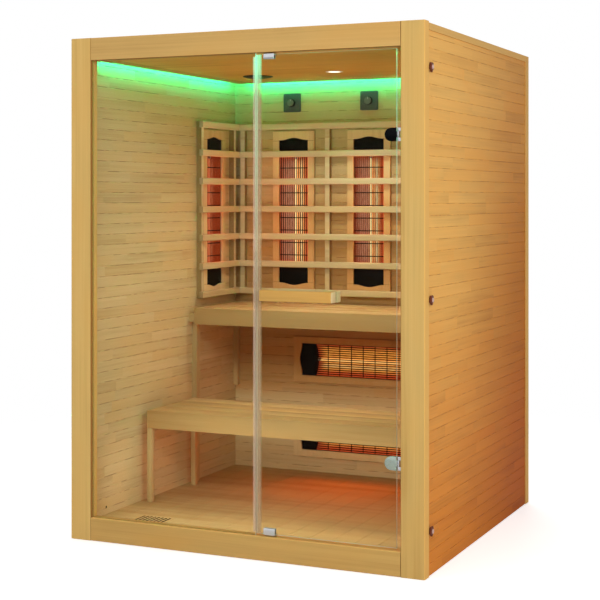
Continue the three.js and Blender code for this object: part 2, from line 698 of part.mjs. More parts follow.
// A hinge: a bracket with pin and two knuckles on the stile, a clamp with one on the glass
function addHinge(name, height) {
  const mid = KNUCKLE_LENGTH / 2;
  const end = HINGE_HEIGHT / 2;
  const knuckle = disc([0, 0], KNUCKLE_RADIUS, KNUCKLE_SIDES);
  const plateX = [HINGE_INSET - FIT - BRACKET_PLATE, HINGE_INSET - FIT];
  const plateY = [BRACKET_SHIFT - BRACKET_WIDTH / 2, BRACKET_SHIFT + BRACKET_WIDTH / 2];
  const armY = [-BRACKET_ARM / 2, BRACKET_ARM / 2];
  const ends = [
    [mid + FIT, end],
    [-end, -mid - FIT],
  ];
  const bracket = join(
    block(plateX, plateY, [-end, end]),
    prism("z", disc([0, 0], PIN_RADIUS, KNUCKLE_SIDES), [-end, end]),
    ...ends.map((span) => prism("z", knuckle, span)),
    ...ends.map((span) => block([0, plateX[1]], armY, span)),
  );
  const bracketGroup = groupAt(hingeX, glassMiddle, height);
  addPiece(bracketGroup, `${name}_hinge_bracket`, bracket, "chrome");

  const inside = GLASS_THICKNESS / 2 + FIT;
  const outside = inside + CLAMP_PLATE;
  const plateEdge = -KNUCKLE_RADIUS - CLAMP_CLEARANCE;
  const roundX = plateEdge - CLAMP_WIDTH + end;
  const plate = [
    [plateEdge, -end],
    [plateEdge, end],
    ...arc([roundX, 0], end, quarterTurn, 3 * quarterTurn, ROUND_SIDES / 2),
  ];
  const webX = [FIT - HINGE_TO_GLASS, FIT - HINGE_TO_GLASS + CLAMP_WEB];
  const clamp = cut(
    join(
      prism("y", plate, [-outside, -inside]),
      prism("y", plate, [inside, outside]),
      block(webX, [-outside, outside], [-mid, mid]),
      prism("z", knuckle, [-mid, mid]),
    ),
    prism("z", disc([0, 0], PIN_RADIUS + FIT, KNUCKLE_SIDES), [-end, end]),
  );
  const clampGroup = new THREE.Group();
  clampGroup.position.z = height;
  door.add(clampGroup);
  addPiece(clampGroup, `${name}_hinge_clamp`, clamp, "chrome");
}

// Benches: a boarded top with a fascia along its front
function benchSection([frontEdge, rearEdge], height) {
  const under = height - BENCH_TOP;
  const foot = height - FASCIA_HEIGHT;
  const pitch = (rearEdge - frontEdge) / BENCH_BOARDS;
  const seams = Array.from({ length: BENCH_BOARDS - 1 }, (_, i) => frontEdge + (i + 1) * pitch);
  const top = grooved(height, -1, seams).map(([z, y]) => [y, z]);
  return [
    [frontEdge, foot],
    [frontEdge, height],
    ...top,
    [rearEdge, height],
    [rearEdge, under],
    [frontEdge + FASCIA_THICKNESS, under],
    [frontEdge + FASCIA_THICKNESS, foot],
  ];
}

function addBenches() {
  const span = [-benchEnd, benchEnd];
  const upper = benchSection([upperBenchFront, backFace - FIT], UPPER_BENCH_HEIGHT);
  const lower = benchSection([lowerBenchFront, lowerBenchBack], LOWER_BENCH_HEIGHT);
  addPiece(cabin, "upper_bench", prism("x", upper, span), "benchWood");
  addPiece(cabin, "lower_bench", prism("x", lower, span), "benchWood");
  addPiece(cabin, "upper_bench_frame", upperBenchFrame(), "benchWood");

  const legs = lowerBenchLegs();
  const leftSpan = [-benchEnd, LEG_WIDTH - benchEnd];
  const rightSpan = [benchEnd - LEG_WIDTH, benchEnd];
  addPiece(cabin, "left_bench_legs", prism("x", legs, leftSpan), "benchWood");
  addPiece(cabin, "right_bench_legs", prism("x", legs, rightSpan), "benchWood");
}

// Side view of two legs and the rail between them: the front leg carries the fascia
function lowerBenchLegs() {
  const foot = FLOOR_HEIGHT + FIT;
  const fasciaFoot = LOWER_BENCH_HEIGHT - FASCIA_HEIGHT - FIT;
  const fasciaBack = lowerBenchFront + FASCIA_THICKNESS + FIT;
  const legTop = LOWER_BENCH_HEIGHT - BENCH_TOP - FIT;
  const railUnder = legTop - BENCH_RAIL_HEIGHT;
  return [
    [lowerBenchFront, foot],
    [lowerBenchFront + LEG_DEPTH, foot],
    [lowerBenchFront + LEG_DEPTH, railUnder],
    [lowerBenchBack - LEG_DEPTH, railUnder],
    [lowerBenchBack - LEG_DEPTH, foot],
    [lowerBenchBack, foot],
    [lowerBenchBack, legTop],
    [fasciaBack, legTop],
    [fasciaBack, fasciaFoot],
    [lowerBenchFront, fasciaFoot],
  ];
}

// Rails along three walls under the upper bench, on posts at the side walls
function upperBenchFrame() {
  const reach = sideInner - FIT;
  const rear = backFace - FIT;
  const railTop = UPPER_BENCH_HEIGHT - BENCH_TOP - FIT;
  const railUnder = railTop - BENCH_RAIL_HEIGHT;
  const railLevel = [railUnder, railTop];
  const railFront = upperBenchFront + FASCIA_THICKNESS + FIT;
  const postFront = upperBenchFront + BENCH_POST_SETBACK;
  const postDepth = [postFront, postFront + LEG_DEPTH];
  const rearDepth = [rear - LEG_WIDTH, rear];
  const rearRail = block([-reach, reach], rearDepth, railLevel);
  const sides = [
    { rail: [-reach, BENCH_RAIL_WIDTH - sideInner], post: [-reach, LEG_WIDTH - reach] },
    { rail: [sideInner - BENCH_RAIL_WIDTH, reach], post: [reach - LEG_WIDTH, reach] },
  ];
  const sidePieces = sides.flatMap(({ rail, post }) => [
    block(rail, [railFront, rear], railLevel),
    block(post, postDepth, [FLOOR_HEIGHT + FIT, railTop]),
    block(post, rearDepth, [LOWER_BENCH_HEIGHT, railTop]),
  ]);
  return join(rearRail, ...sidePieces);
}

// One infrared heater: reflector tray, arched end caps and a wire guard, and its quartz tube
function addHeater(name, frame) {
  const width = HEATER_WIDTH - 2 * HEATER_PLAY;
  const length = HEATER_LENGTH - 2 * HEATER_PLAY;
  const side = width / 2;
  const reach = length / 2 - CAP_LENGTH;
  const span = [-reach - FIT, reach + FIT];
  const longSpan = [-reach - LONG_WIRE, reach + LONG_WIRE];
  const traySection = [
    [-side, -TRAY_RIM],
    [TRAY_RIM_WALL - side, -TRAY_RIM],
    [-TRAY_FLOOR / 2, TRAY_DEPTH - TRAY_SHEET],
    [TRAY_FLOOR / 2, TRAY_DEPTH - TRAY_SHEET],
    [side - TRAY_RIM_WALL, -TRAY_RIM],
    [side, -TRAY_RIM],
    [side, TRAY_DEPTH],
    [-side, TRAY_DEPTH],
  ];
  const outline = archedOutline(width, length, HEATER_ARCH);
  const capDepth = [-CAP_PROUD, TRAY_DEPTH];
  const topCap = [[-side, reach], [side, reach], ...outline.slice(0, outline.length / 2)];
  const bottomCap = topCap.map(([x, z]) => [x, -z]);
  const crossDepth = [-TRAY_RIM, CROSS_WIRE - TRAY_RIM];
  const longDepth = [-TRAY_RIM - FIT - LONG_WIRE, -TRAY_RIM - FIT];
  const rowPitch = (2 * reach) / GUARD_ROWS;
  const columnPitch = (2 * (side - TRAY_RIM_WALL)) / GUARD_COLUMNS;
  const crossWires = Array.from({ length: GUARD_ROWS - 1 }, (_, i) => {
    const z = (i + 1) * rowPitch - reach;
    return block([-side, side], crossDepth, [z - CROSS_WIRE / 2, z + CROSS_WIRE / 2]);
  });
  const longWires = Array.from({ length: GUARD_COLUMNS - 1 }, (_, i) => {
    const x = (i + 1) * columnPitch - (side - TRAY_RIM_WALL);
    return block([x - LONG_WIRE / 2, x + LONG_WIRE / 2], longDepth, longSpan);
  });
  const tubeEnd = reach + TUBE_SOCKET;
  const socketOutline = disc([0, TUBE_SET], TUBE_RADIUS + FIT, TUBE_SIDES);
  const socket = prism("z", socketOutline, [-tubeEnd, tubeEnd]);
  const housing = cut(
    join(
      prism("z", traySection, span),
      prism("y", topCap, capDepth),
      prism("y", bottomCap, capDepth),
      ...crossWires,
      ...longWires,
    ),
    socket,
  );
  const tubeOutline = disc([0, TUBE_SET], TUBE_RADIUS, TUBE_SIDES);
  const tube = prism("z", tubeOutline, [FIT - tubeEnd, tubeEnd - FIT]);
  const unit = new THREE.Group();
  unit.applyMatrix4(frame);
  cabin.add(unit);
  addPiece(unit, `${name}_heater`, housing, "blackSteel");
  addPiece(unit, `${name}_heater_tube`, tube, "quartz");
}

// A backrest of level slats on upright battens, x along the wall and -y towards the room.
// A post is as deep as battens and slats together.
function backrest([from, to], battens) {
  const rear = -BATTEN_DEPTH + BATTEN_OVERLAP;
  const face = -BATTEN_DEPTH - SLAT_THICKNESS + BATTEN_OVERLAP;
  const pitch = (BACKREST_HEIGHT - SLAT_HEIGHT) / (SLAT_COUNT - 1);
  const slats = Array.from({ length: SLAT_COUNT }, (_, i) => {
    const z = BACKREST_BOTTOM + i * pitch;
    const section = [
      [rear, z],
      [rear, z + SLAT_HEIGHT],
      [face + SLAT_CHAMFER, z + SLAT_HEIGHT],
      [face, z + SLAT_HEIGHT - SLAT_CHAMFER],
      [face, z + SLAT_CHAMFER],
      [face + SLAT_CHAMFER, z],
    ];
    return prism("x", section, [from, to]);
  });
  const height = [BACKREST_BOTTOM + FIT, BACKREST_BOTTOM + BACKREST_HEIGHT - FIT];
  const uprights = battens.map((x) =>
    block([x - BATTEN_WIDTH / 2, x + BATTEN_WIDTH / 2], [-BATTEN_DEPTH, -FIT], height),
  );
  return join(...slats, ...uprights);
}

function addBackrests() {
  const reach = sideInner - FIT;
  const outerBatten = sideInner - BATTEN_FROM_WALL;
  const backBattens = [-outerBatten, -INNER_BATTEN_AT, INNER_BATTEN_AT, outerBatten];
  const backGroup = groupAt(0, backFace, 0);
  addPiece(backGroup, "back_backrest", backrest([-reach, reach], backBattens), "benchWood");

  const corner = BATTEN_DEPTH + SLAT_THICKNESS + FIT;
  const sideSpan = [0, SIDE_BACKREST_LENGTH];
  const nearEnd = BATTEN_WIDTH / 2;
  const frontEnd = SIDE_BATTEN_SET;
  const leftGroup = groupAt(-sideInner, backFace - corner - SIDE_BACKREST_LENGTH, 0);
  leftGroup.rotation.z = quarterTurn;
  addPiece(leftGroup, "left_backrest", backrest(sideSpan, [frontEnd, SIDE_BACKREST_LENGTH - nearEnd]), "benchWood");
  const rightGroup = groupAt(sideInner, backFace - corner, 0);
  rightGroup.rotation.z = -quarterTurn;
  addPiece(rightGroup, "right_backrest", backrest(sideSpan, [nearEnd, SIDE_BACKREST_LENGTH - frontEnd]), "benchWood");
}

// A dimmer: a square plate on the back wall and a turning knob with a pointer
function addDimmer(name, x) {
  const group = groupAt(x, backFace, DIMMER_AT);
  const size = [-DIMMER_SIZE / 2, DIMMER_SIZE / 2];
  const face = -FIT - DIMMER_THICKNESS;
  const outline = roundedRectangle(size, size, DIMMER_ROUND, FRAME_ROUND_STEPS);
  const hole = disc([0, 0], DIMMER_SHAFT_RADIUS + FIT, KNUCKLE_SIDES);
  const bore = prism("y", hole, [2 * face, face + DIMMER_SHAFT_DEPTH]);
  const plate = cut(prism("y", outline, [face, -FIT]), bore);
  addPiece(group, `${name}_dimmer_plate`, plate, "greyPlastic");

  const profile = [
    [0, FIT - DIMMER_SHAFT_DEPTH],
    [DIMMER_SHAFT_RADIUS, FIT - DIMMER_SHAFT_DEPTH],
    [DIMMER_SHAFT_RADIUS, FIT],
    [DIMMER_KNOB_RADIUS, FIT],
    [DIMMER_KNOB_RADIUS, DIMMER_KNOB_SKIRT],
    [DIMMER_KNOB_TIP_RADIUS, DIMMER_KNOB_HEIGHT],
    [0, DIMMER_KNOB_HEIGHT],
  ];
  const groove = block(
    [-DIMMER_POINTER_WIDTH / 2, DIMMER_POINTER_WIDTH / 2],
    [DIMMER_KNOB_TIP_RADIUS / 2, 2 * DIMMER_KNOB_RADIUS],
    [DIMMER_KNOB_HEIGHT - DIMMER_POINTER_WIDTH / 2, 2 * DIMMER_KNOB_HEIGHT],
  );
  const knob = cut(turned(profile, ROUND_SIDES), groove);
  knob.rotateX(quarterTurn).translate(0, face, 0);
  addPiece(group, `${name}_dimmer_knob`, knob, "greyPlastic");
}

// A star knob on a hub, turned about the axis that points out of the side wall
function addStarKnob(side, level, height) {
  const sign = side === "left" ? -1 : 1;
  const group = groupAt(sign * sideOuter, frameBack + STAR_FROM_FRAME, height);
  group.rotation.y = sign * quarterTurn;
  const steps = STAR_LOBES * STAR_STEPS;
  const star = Array.from({ length: steps }, (_, i) => {
    const angle = (2 * Math.PI * i) / steps;
    const radius = STAR_RADIUS - STAR_WAVE + STAR_WAVE * Math.cos(STAR_LOBES * angle);
    return [radius * Math.cos(angle), radius * Math.sin(angle)];
  });
  const seat = SIDE_INSET + STAR_CLEARANCE;
  const tip = seat + STAR_THICKNESS;
  const knob = join(
    prism("z", disc([0, 0], STAR_HUB_RADIUS, KNUCKLE_SIDES), [FIT, tip]),
    prism("z", star, [seat, tip]),
    prism("z", disc([0, 0], STAR_CAP_RADIUS, KNUCKLE_SIDES), [tip - FIT, tip + STAR_CAP_HEIGHT]),
  );
  addPiece(group, `${side}_${level}_star_knob`, knob, "brownPlastic");
}

addShell();
addFloor();
addCeiling();
addCeilingFittings();
addFrontFrame();
addDoor();
addHinge("upper", HINGE_HEIGHTS.upper);
addHinge("lower", HINGE_HEIGHTS.lower);
addBenches();
addBackrests();
for (const heaters of [leftHeaters, backHeaters, rightHeaters, lowHeaters]) {
  for (const [name, frame] of Object.entries(heaters)) {
    addHeater(name, frame);
  }
}
addDimmer("left", -DIMMER_PITCH);
addDimmer("middle", 0);
addDimmer("right", DIMMER_PITCH);
for (const side of ["left", "right"]) {
  for (const [level, height] of Object.entries(STAR_HEIGHTS)) {
    addStarKnob(side, level, height);
  }
}

export default part;
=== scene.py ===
import json
import math

import bmesh
import bpy
from bpy.props import FloatProperty, FloatVectorProperty, IntProperty, PointerProperty
from mathutils import Euler, Matrix, Vector


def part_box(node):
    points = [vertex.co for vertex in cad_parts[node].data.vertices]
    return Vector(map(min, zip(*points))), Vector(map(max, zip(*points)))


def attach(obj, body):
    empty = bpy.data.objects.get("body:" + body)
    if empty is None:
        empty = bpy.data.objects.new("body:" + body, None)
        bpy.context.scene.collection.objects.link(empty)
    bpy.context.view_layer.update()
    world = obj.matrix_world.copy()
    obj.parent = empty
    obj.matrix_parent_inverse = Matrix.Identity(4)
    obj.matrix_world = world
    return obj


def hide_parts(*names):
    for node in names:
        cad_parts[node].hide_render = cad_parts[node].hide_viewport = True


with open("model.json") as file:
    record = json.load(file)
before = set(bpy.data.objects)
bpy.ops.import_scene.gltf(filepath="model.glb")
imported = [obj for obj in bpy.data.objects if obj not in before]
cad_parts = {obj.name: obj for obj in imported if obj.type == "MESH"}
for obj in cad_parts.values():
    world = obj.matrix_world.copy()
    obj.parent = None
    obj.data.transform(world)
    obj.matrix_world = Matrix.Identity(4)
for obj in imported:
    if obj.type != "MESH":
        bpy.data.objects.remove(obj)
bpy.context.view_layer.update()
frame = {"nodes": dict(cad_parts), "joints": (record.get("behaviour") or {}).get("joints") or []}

bl_info = {
    "name": "Infrared sauna cabin",
    "version": (1, 0, 0),
    "blender": (4, 5, 0),
    "location": "View3D > Sidebar > Sauna",
    "description": "Finishes, heaters, fittings, light and camera for an infrared sauna cabin",
    "category": "Object",
}

SURROUND_WIDTH = 0.030
SIDE_HEATERS = ("left", "right")
BACK_HEATERS = ("back_left", "back_middle", "back_right")
LOW_HEATERS = ("bench_upper", "bench_lower")
DIMMERS = ("left", "middle", "right")
SIDES = ("left", "right")
STAR_LEVELS = ("top", "middle", "bottom")


def tint(red, green, blue):
    """A colour chart's 0 to 255 values as the linear colour that Blender mixes."""

    def linear(value):
        share = value / 255
        if share <= 0.04045:
            return share / 12.92
        return ((share + 0.055) / 1.055) ** 2.4

    return (linear(red), linear(green), linear(blue), 1.0)


def scaled(colour, red, green=None, blue=None):
    """A colour made darker or paler, channel by channel."""
    green = red if green is None else green
    blue = red if blue is None else blue
    shares = zip(colour, (red, green, blue))
    return (*(min(1.0, channel * share) for channel, share in shares), 1.0)


def colour_value(name, description, chart):
    """A colour that the user can change."""
    return FloatVectorProperty(
        name=name, description=description, subtype="COLOR", size=4, min=0, max=1, default=tint(*chart)
    )


def length_value(name, description, metres):
    """A length that the user can change."""
    return FloatProperty(
        name=name, description=description, default=metres, min=0, unit="LENGTH", precision=4
    )


class SaunaTimber(bpy.types.PropertyGroup):
    """Timber colours and board sizes."""

    stile_colour: colour_value("Stiles", "Uprights of the front frame", (211, 174, 104))
    rail_colour: colour_value("Rails", "Top and bottom rail of the front frame", (206, 166, 100))
    outer_colour: colour_value("Outer boards", "Boards on the outside of the walls", (236, 182, 98))
    inner_colour: colour_value("Inner boards", "Boards on the room side of the walls", (210, 188, 141))
    surround_colour: colour_value("Surrounds", "Timber round the heaters", (226, 203, 155))
    slat_colour: colour_value("Slats", "Backrest slats and battens", (208, 189, 146))
    bench_colour: colour_value("Benches", "Bench boards, fascias and legs", (201, 172, 122))
    ceiling_colour: colour_value("Ceiling", "Ceiling panel", (222, 180, 94))
    floor_colour: colour_value("Floor", "Floor boards and vent", (200, 172, 120))
    roof_colour: colour_value("Roof", "Roof panel and its rim", (216, 172, 98))
    handle_colour: colour_value("Handle", "Outer handle bar", (208, 162, 88))
    end_colour: colour_value("Handle ends", "Ends of the handle and the inner bar", (216, 194, 146))
    board_pitch: length_value("Board pitch", "Height of one wall board", 0.042)
    ceiling_border: length_value("Ceiling border", "Width of the ceiling's dark border", 0.075)
    stave_length: length_value("Stave length", "Length of one stave in a board", 0.46)
    arris: length_value("Arris", "Rounding of the bench edges", 0.0025)


class SaunaGlass(bpy.types.PropertyGroup):
    """Panes and the door's seal."""

    pane_colour: colour_value("Panes", "Tint of the clear panes", (246, 250, 247))
    edge_colour: colour_value("Pane edges", "Polished edges of the panes", (222, 232, 216))
    # Edge glow and strip glow are painted light: emission on the pane edges and strips in the cove's colour.
    edge_glow: colour_value("Edge glow", "Cove light that the pane edges carry", (120, 214, 180))
    seal_colour: colour_value("Seal", "Clear strip on the door's edge", (210, 182, 144))
    strip_colour: colour_value("Pane strip", "Pale strip on the fixed pane's edge", (238, 212, 188))
    pipe_colour: colour_value("Strip glow", "Cove light that the strips carry", (10, 255, 190))
    strip_width: length_value("Strip width", "Width of the fixed pane's strip", 0.0088)


class SaunaHeaters(bpy.types.PropertyGroup):
    """Heater units."""

    width: length_value("Width", "Width of a heater unit", 0.1468)
    length: length_value("Length", "Length of a heater unit", 0.6826)
    arch: length_value("Arch", "Rise of the arched ends", 0.0108)
    arch_spread: length_value("Arch spread", "Half of the width that the arch takes", 0.064)
    cap_length: length_value("Cap length", "Length of an end cap", 0.082)
    cap_proud: length_value("Cap proud", "Height of the caps over the wall", 0.008)
    tray_depth: length_value("Tray depth", "Depth of the reflector behind the wall's face", 0.024)
    long_wires: IntProperty(name="Long wires", description="Wires along the guard", default=14, min=3)
    cross_wires: IntProperty(name="Cross wires", description="Bars across the guard", default=8, min=2)
    long_wire: length_value("Long wire", "Width of a long wire, which is flattened", 0.0043)
    cross_wire: length_value("Cross wire", "Thickness of a cross bar", 0.0042)
    tube_radius: length_value("Tube radius", "Radius of the quartz tube", 0.006)
    tube_set: length_value("Tube set", "Depth of the tube behind the wall's face", 0.016)
    cap_colour: colour_value("Caps", "Black end caps and housing", (8, 8, 8))
    wire_colour: colour_value("Wires", "Guard wires", (16, 5, 4))
    # Reflector, dull side, ember, glow and the side and low glows are painted reflection and glow, used as emission.
    reflector_colour: colour_value("Reflector", "Polished reflector", (150, 92, 74))
    dull_colour: colour_value("Dull side", "Reflector on the side that shows the room", (204, 132, 98))
    ember_colour: colour_value("Ember", "Glow at the reflector's sides", (196, 70, 30))
    glow_colour: colour_value("Glow", "Glow beside the tube", (255, 172, 98))
    tube_colour: colour_value("Tube", "Hot tube", (255, 228, 166))
    red_colour: colour_value("Side glow", "Reflector of the side units", (168, 52, 38))
    red_tube: colour_value("Side tube", "Tube of the side units", (240, 128, 84))
    low_colour: colour_value("Low glow", "Reflector of the low units", (244, 154, 64))
    low_tube: colour_value("Low tube", "Tube of the low units", (255, 190, 112))


class SaunaFittings(bpy.types.PropertyGroup):
    """Metal and plastic fittings."""

    chrome_colour: colour_value("Chrome", "Bright metal of clips and knuckles", (214, 216, 218))
    dark_metal: colour_value("Dark metal", "Clamp plates of the upper hinge", (20, 20, 22))
    satin_colour: colour_value("Satin metal", "Clamp plates of the lower hinge", (176, 190, 178))
    plate_colour: colour_value("Dimmer plate", "Dimmer plates", (84, 88, 88))
    knob_colour: colour_value("Dimmer knob", "Dimmer knobs", (120, 128, 122))
    star_colour: colour_value("Star knob", "Knobs on the side walls", (100, 46, 24))
    # Painted highlight: the pale cap stands for the highlight on each knob's centre.
    star_cap_highlight_colour: colour_value("Star cap", "Caps of the star knobs", (196, 160, 150))
    speaker_colour: colour_value("Speaker", "Speaker grille and rim", (26, 24, 22))
    lamp_colour: colour_value("Lamp trim", "Ring round the lamp", (236, 234, 226))


class SaunaLights(bpy.types.PropertyGroup):
    """Light in the cabin and round it."""

    cove_colour: colour_value("Cove", "Light strip in the cove", (0, 255, 184))
    cove_power: FloatProperty(name="Cove power", description="Watts in each cove run", default=3.3, min=0)
    heat_colour: colour_value("Heat", "Light that a heater throws", (255, 106, 38))
    heat_power: FloatProperty(name="Heat power", description="Watts from each wall heater", default=0.8, min=0)
    bench_power: FloatProperty(name="Bench heat", description="Watts from the upper low heater", default=1, min=0)
    low_power: FloatProperty(name="Floor heat", description="Watts from the lower low heater", default=1.8, min=0)
    lamp_power: FloatProperty(name="Lamp power", description="Watts from the lamp", default=2.9, min=0)
    key_power: FloatProperty(name="Key power", description="Watts of the main light", default=45, min=0)
    front_power: FloatProperty(name="Front power", description="Watts of the front light", default=66, min=0)
    side_power: FloatProperty(name="Side power", description="Watts of the side light", default=60, min=0)
    room_power: FloatProperty(name="Room power", description="Watts of fill in the room", default=0.6, min=0)
    wall_power: FloatProperty(name="Wall power", description="Watts of fill on the left wall", default=1.3, min=0)
    foot_power: FloatProperty(name="Foot power", description="Watts of fill by the floor", default=1.6, min=0)
    rear_power: FloatProperty(name="Rear power", description="Watts of the rear light", default=120, min=0)
    ambient: FloatProperty(name="Ambient", description="Strength of the light from all round", default=0.33)


class SaunaStage(bpy.types.PropertyGroup):
    """Camera and floor."""

    camera_place: FloatVectorProperty(
        name="Camera", description="Place of the camera", subtype="TRANSLATION", unit="LENGTH",
        default=(2.3205, -5.2433, 1.3247), precision=4,
    )
    camera_yaw: FloatProperty(
        name="Yaw", description="Turn of the camera from straight ahead", subtype="ANGLE",
        default=math.radians(24.339),
    )
    camera_lens: FloatProperty(name="Lens", description="Focal length in millimetres", default=83.725)
    camera_rise: FloatProperty(name="Rise", description="Vertical lens shift", default=-0.1711)
    floor_colour: colour_value("Studio floor", "Pale floor under the cabin", (244, 244, 243))


SETTINGS = {
    "sauna_timber": SaunaTimber,
    "sauna_glass": SaunaGlass,
    "sauna_heaters": SaunaHeaters,
    "sauna_fittings": SaunaFittings,
    "sauna_lights": SaunaLights,
    "sauna_stage": SaunaStage,
}


class Value:
    """One socket of a material, with the sums that are done on it."""

    def __init__(self, finish, socket):
        self.finish = finish
        self.socket = socket

    def __add__(self, other):
        return self.finish.sum("ADD", self, other)

    def __sub__(self, other):
        return self.finish.sum("SUBTRACT", self, other)

    def __rsub__(self, other):
        return self.finish.sum("SUBTRACT", other, self)

    def __mul__(self, other):
        return self.finish.sum("MULTIPLY", self, other)

    def __truediv__(self, other):
        return self.finish.sum("DIVIDE", self, other)

    def __rtruediv__(self, other):
        return self.finish.sum("DIVIDE", other, self)

    def __gt__(self, other):
        return self.finish.sum("GREATER_THAN", self, other)

    def __lt__(self, other):
        return self.finish.sum("LESS_THAN", self, other)

    def __abs__(self):
        return self.finish.sum("ABSOLUTE", self)

    def __floor__(self):
        return self.finish.sum("FLOOR", self)

    __radd__ = __add__
    __rmul__ = __mul__


class Finish:
    """A material in the making."""

    def __init__(self, name, tree=None):
        self.material = None
        if tree is None:
            self.material = bpy.data.materials.new(name)
            self.material.use_nodes = True
            tree = self.material.node_tree
        self.tree = tree
        self.tree.nodes.clear()

    def feed(self, socket, value):
        """Links a value to a socket, or writes a plain one on it."""
        if isinstance(value, Value):
            self.tree.links.new(value.socket, socket)
        else:
            socket.default_value = value

    def node(self, kind, settings=None, sockets=None, output=0):
        """Adds a node: its settings first, then its sockets by name or number."""
        made = self.tree.nodes.new(kind)
        settings = dict(settings or {})
        stops = settings.pop("stops", None)
        for name, value in settings.items():
            setattr(made, name, value)
        if stops:
            elements = made.color_ramp.elements
            while len(elements) < len(stops):
                elements.new(1.0)
            for element, (position, colour) in zip(elements, stops):
                element.position = position
                element.color = colour
        for name, value in (sockets or {}).items():
            self.feed(made.inputs[name], value)
        return Value(self, made.outputs[output]) if made.outputs else made

    def sum(self, operation, *terms):
        return self.node("ShaderNodeMath", {"operation": operation}, dict(enumerate(terms)))

    def place(self):
        """x, y and z of a point on the piece, in metres."""
        point = self.node("ShaderNodeTexCoord", output="Object")
        parts = [self.node("ShaderNodeSeparateXYZ", None, {0: point}, axis) for axis in "XYZ"]
        return parts

    def facing(self):
        """x, y and z of the direction that a point on the piece faces."""
        normal = self.node("ShaderNodeTexCoord", output="Normal")
        return [self.node("ShaderNodeSeparateXYZ", None, {0: normal}, axis) for axis in "XYZ"]

    def point(self, x, y, z):
        return self.node("ShaderNodeCombineXYZ", None, {0: x, 1: y, 2: z})

    def noise(self, point, scale=1.0, detail=2.0, roughness=0.5):
        sockets = {"Vector": point, "Scale": scale, "Detail": detail, "Roughness": roughness}
        return self.node("ShaderNodeTexNoise", None, sockets)

    def chance(self, point):
        """A number from 0 to 1 that is the same over each whole-number cell."""
        return self.node("ShaderNodeTexWhiteNoise", {"noise_dimensions": "3D"}, {"Vector": point})

    def ease(self, value, start, end):
        """0 before start, 1 after end and a soft step between."""
        sockets = {"Value": value, "From Min": start, "From Max": end}
        return self.node("ShaderNodeMapRange", {"interpolation_type": "SMOOTHSTEP"}, sockets)

    def blend(self, share, first, second, how="MIX"):
        settings = {"data_type": "RGBA", "blend_type": how}
        return self.node("ShaderNodeMix", settings, {0: share, 6: first, 7: second}, 2)

    def ramp(self, value, *stops):
        return self.node("ShaderNodeValToRGB", {"stops": stops}, {0: value})

    def bump(self, height, depth, strength=1.0):
        sockets = {"Height": height, "Distance": depth, "Strength": strength}
        return self.node("ShaderNodeBump", None, sockets)

    def shader(self, **sockets):
        names = {name.replace("_", " ").title(): value for name, value in sockets.items()}
        names = {name.replace("Ior", "IOR"): value for name, value in names.items()}
        return self.node("ShaderNodeBsdfPrincipled", None, names)

    def done(self, surface):
        self.node("ShaderNodeOutputMaterial", None, {"Surface": surface})
        return self.material


NODES = frame["nodes"]
STAVE_LOTS = 7.0
DARK_WOOD = (0.72, 0.62, 0.5)
PALE_WOOD = (1.12, 1.16, 1.26)
RED_WOOD = (1.02, 0.86, 0.66)
GROOVE_WOOD = (0.42, 0.26, 0.13)
# Painted shade on the side walls' outer boards, towards the rear and towards the floor.
REAR_FALLOFF_SHADE = (0.62, 0.39, 0.16, 1)
FOOT_FALLOFF_SHADE = (0.86, 0.54, 0.26, 1)
# Painted shade on the edges of the frame that hold the glass.
REBATE_SHADE_WOOD = (0.36, 0.24, 0.15)
# Painted highlight on the upward face of the bottom rail.
SILL_HIGHLIGHT_WOOD = (1.24, 1.2, 1.1)
SHADE_WOOD = (0.5, 0.4, 0.3)
# Painted shade on the upright faces of the benches.
FASCIA_SHADE_WOOD = (0.85, 0.77, 0.68, 1)
# Painted shade with a painted heater glow, for the back wall between the benches.
HEATER_GLOW_SHADE_WOOD = (0.73, 0.55, 0.41, 1)
# Painted shade on the surround trim below the upper bench.
LOW_TRIM_SHADE_WOOD = (0.82, 0.8, 0.74, 1)
# Painted light on the top slats of the backrests.
TOP_SLAT_LIGHT_WOOD = (1.36, 1.56, 1.9, 1)
# Painted shade on the battens behind the slats.
BATTEN_SHADE_WOOD = (0.66, 0.57, 0.4)
# Dark joints of the surrounds, and the painted shadow round them.
GAP_AND_SHADOW_WOOD = (0.36, 0.26, 0.16)
SLAT_PITCHES = 6.22


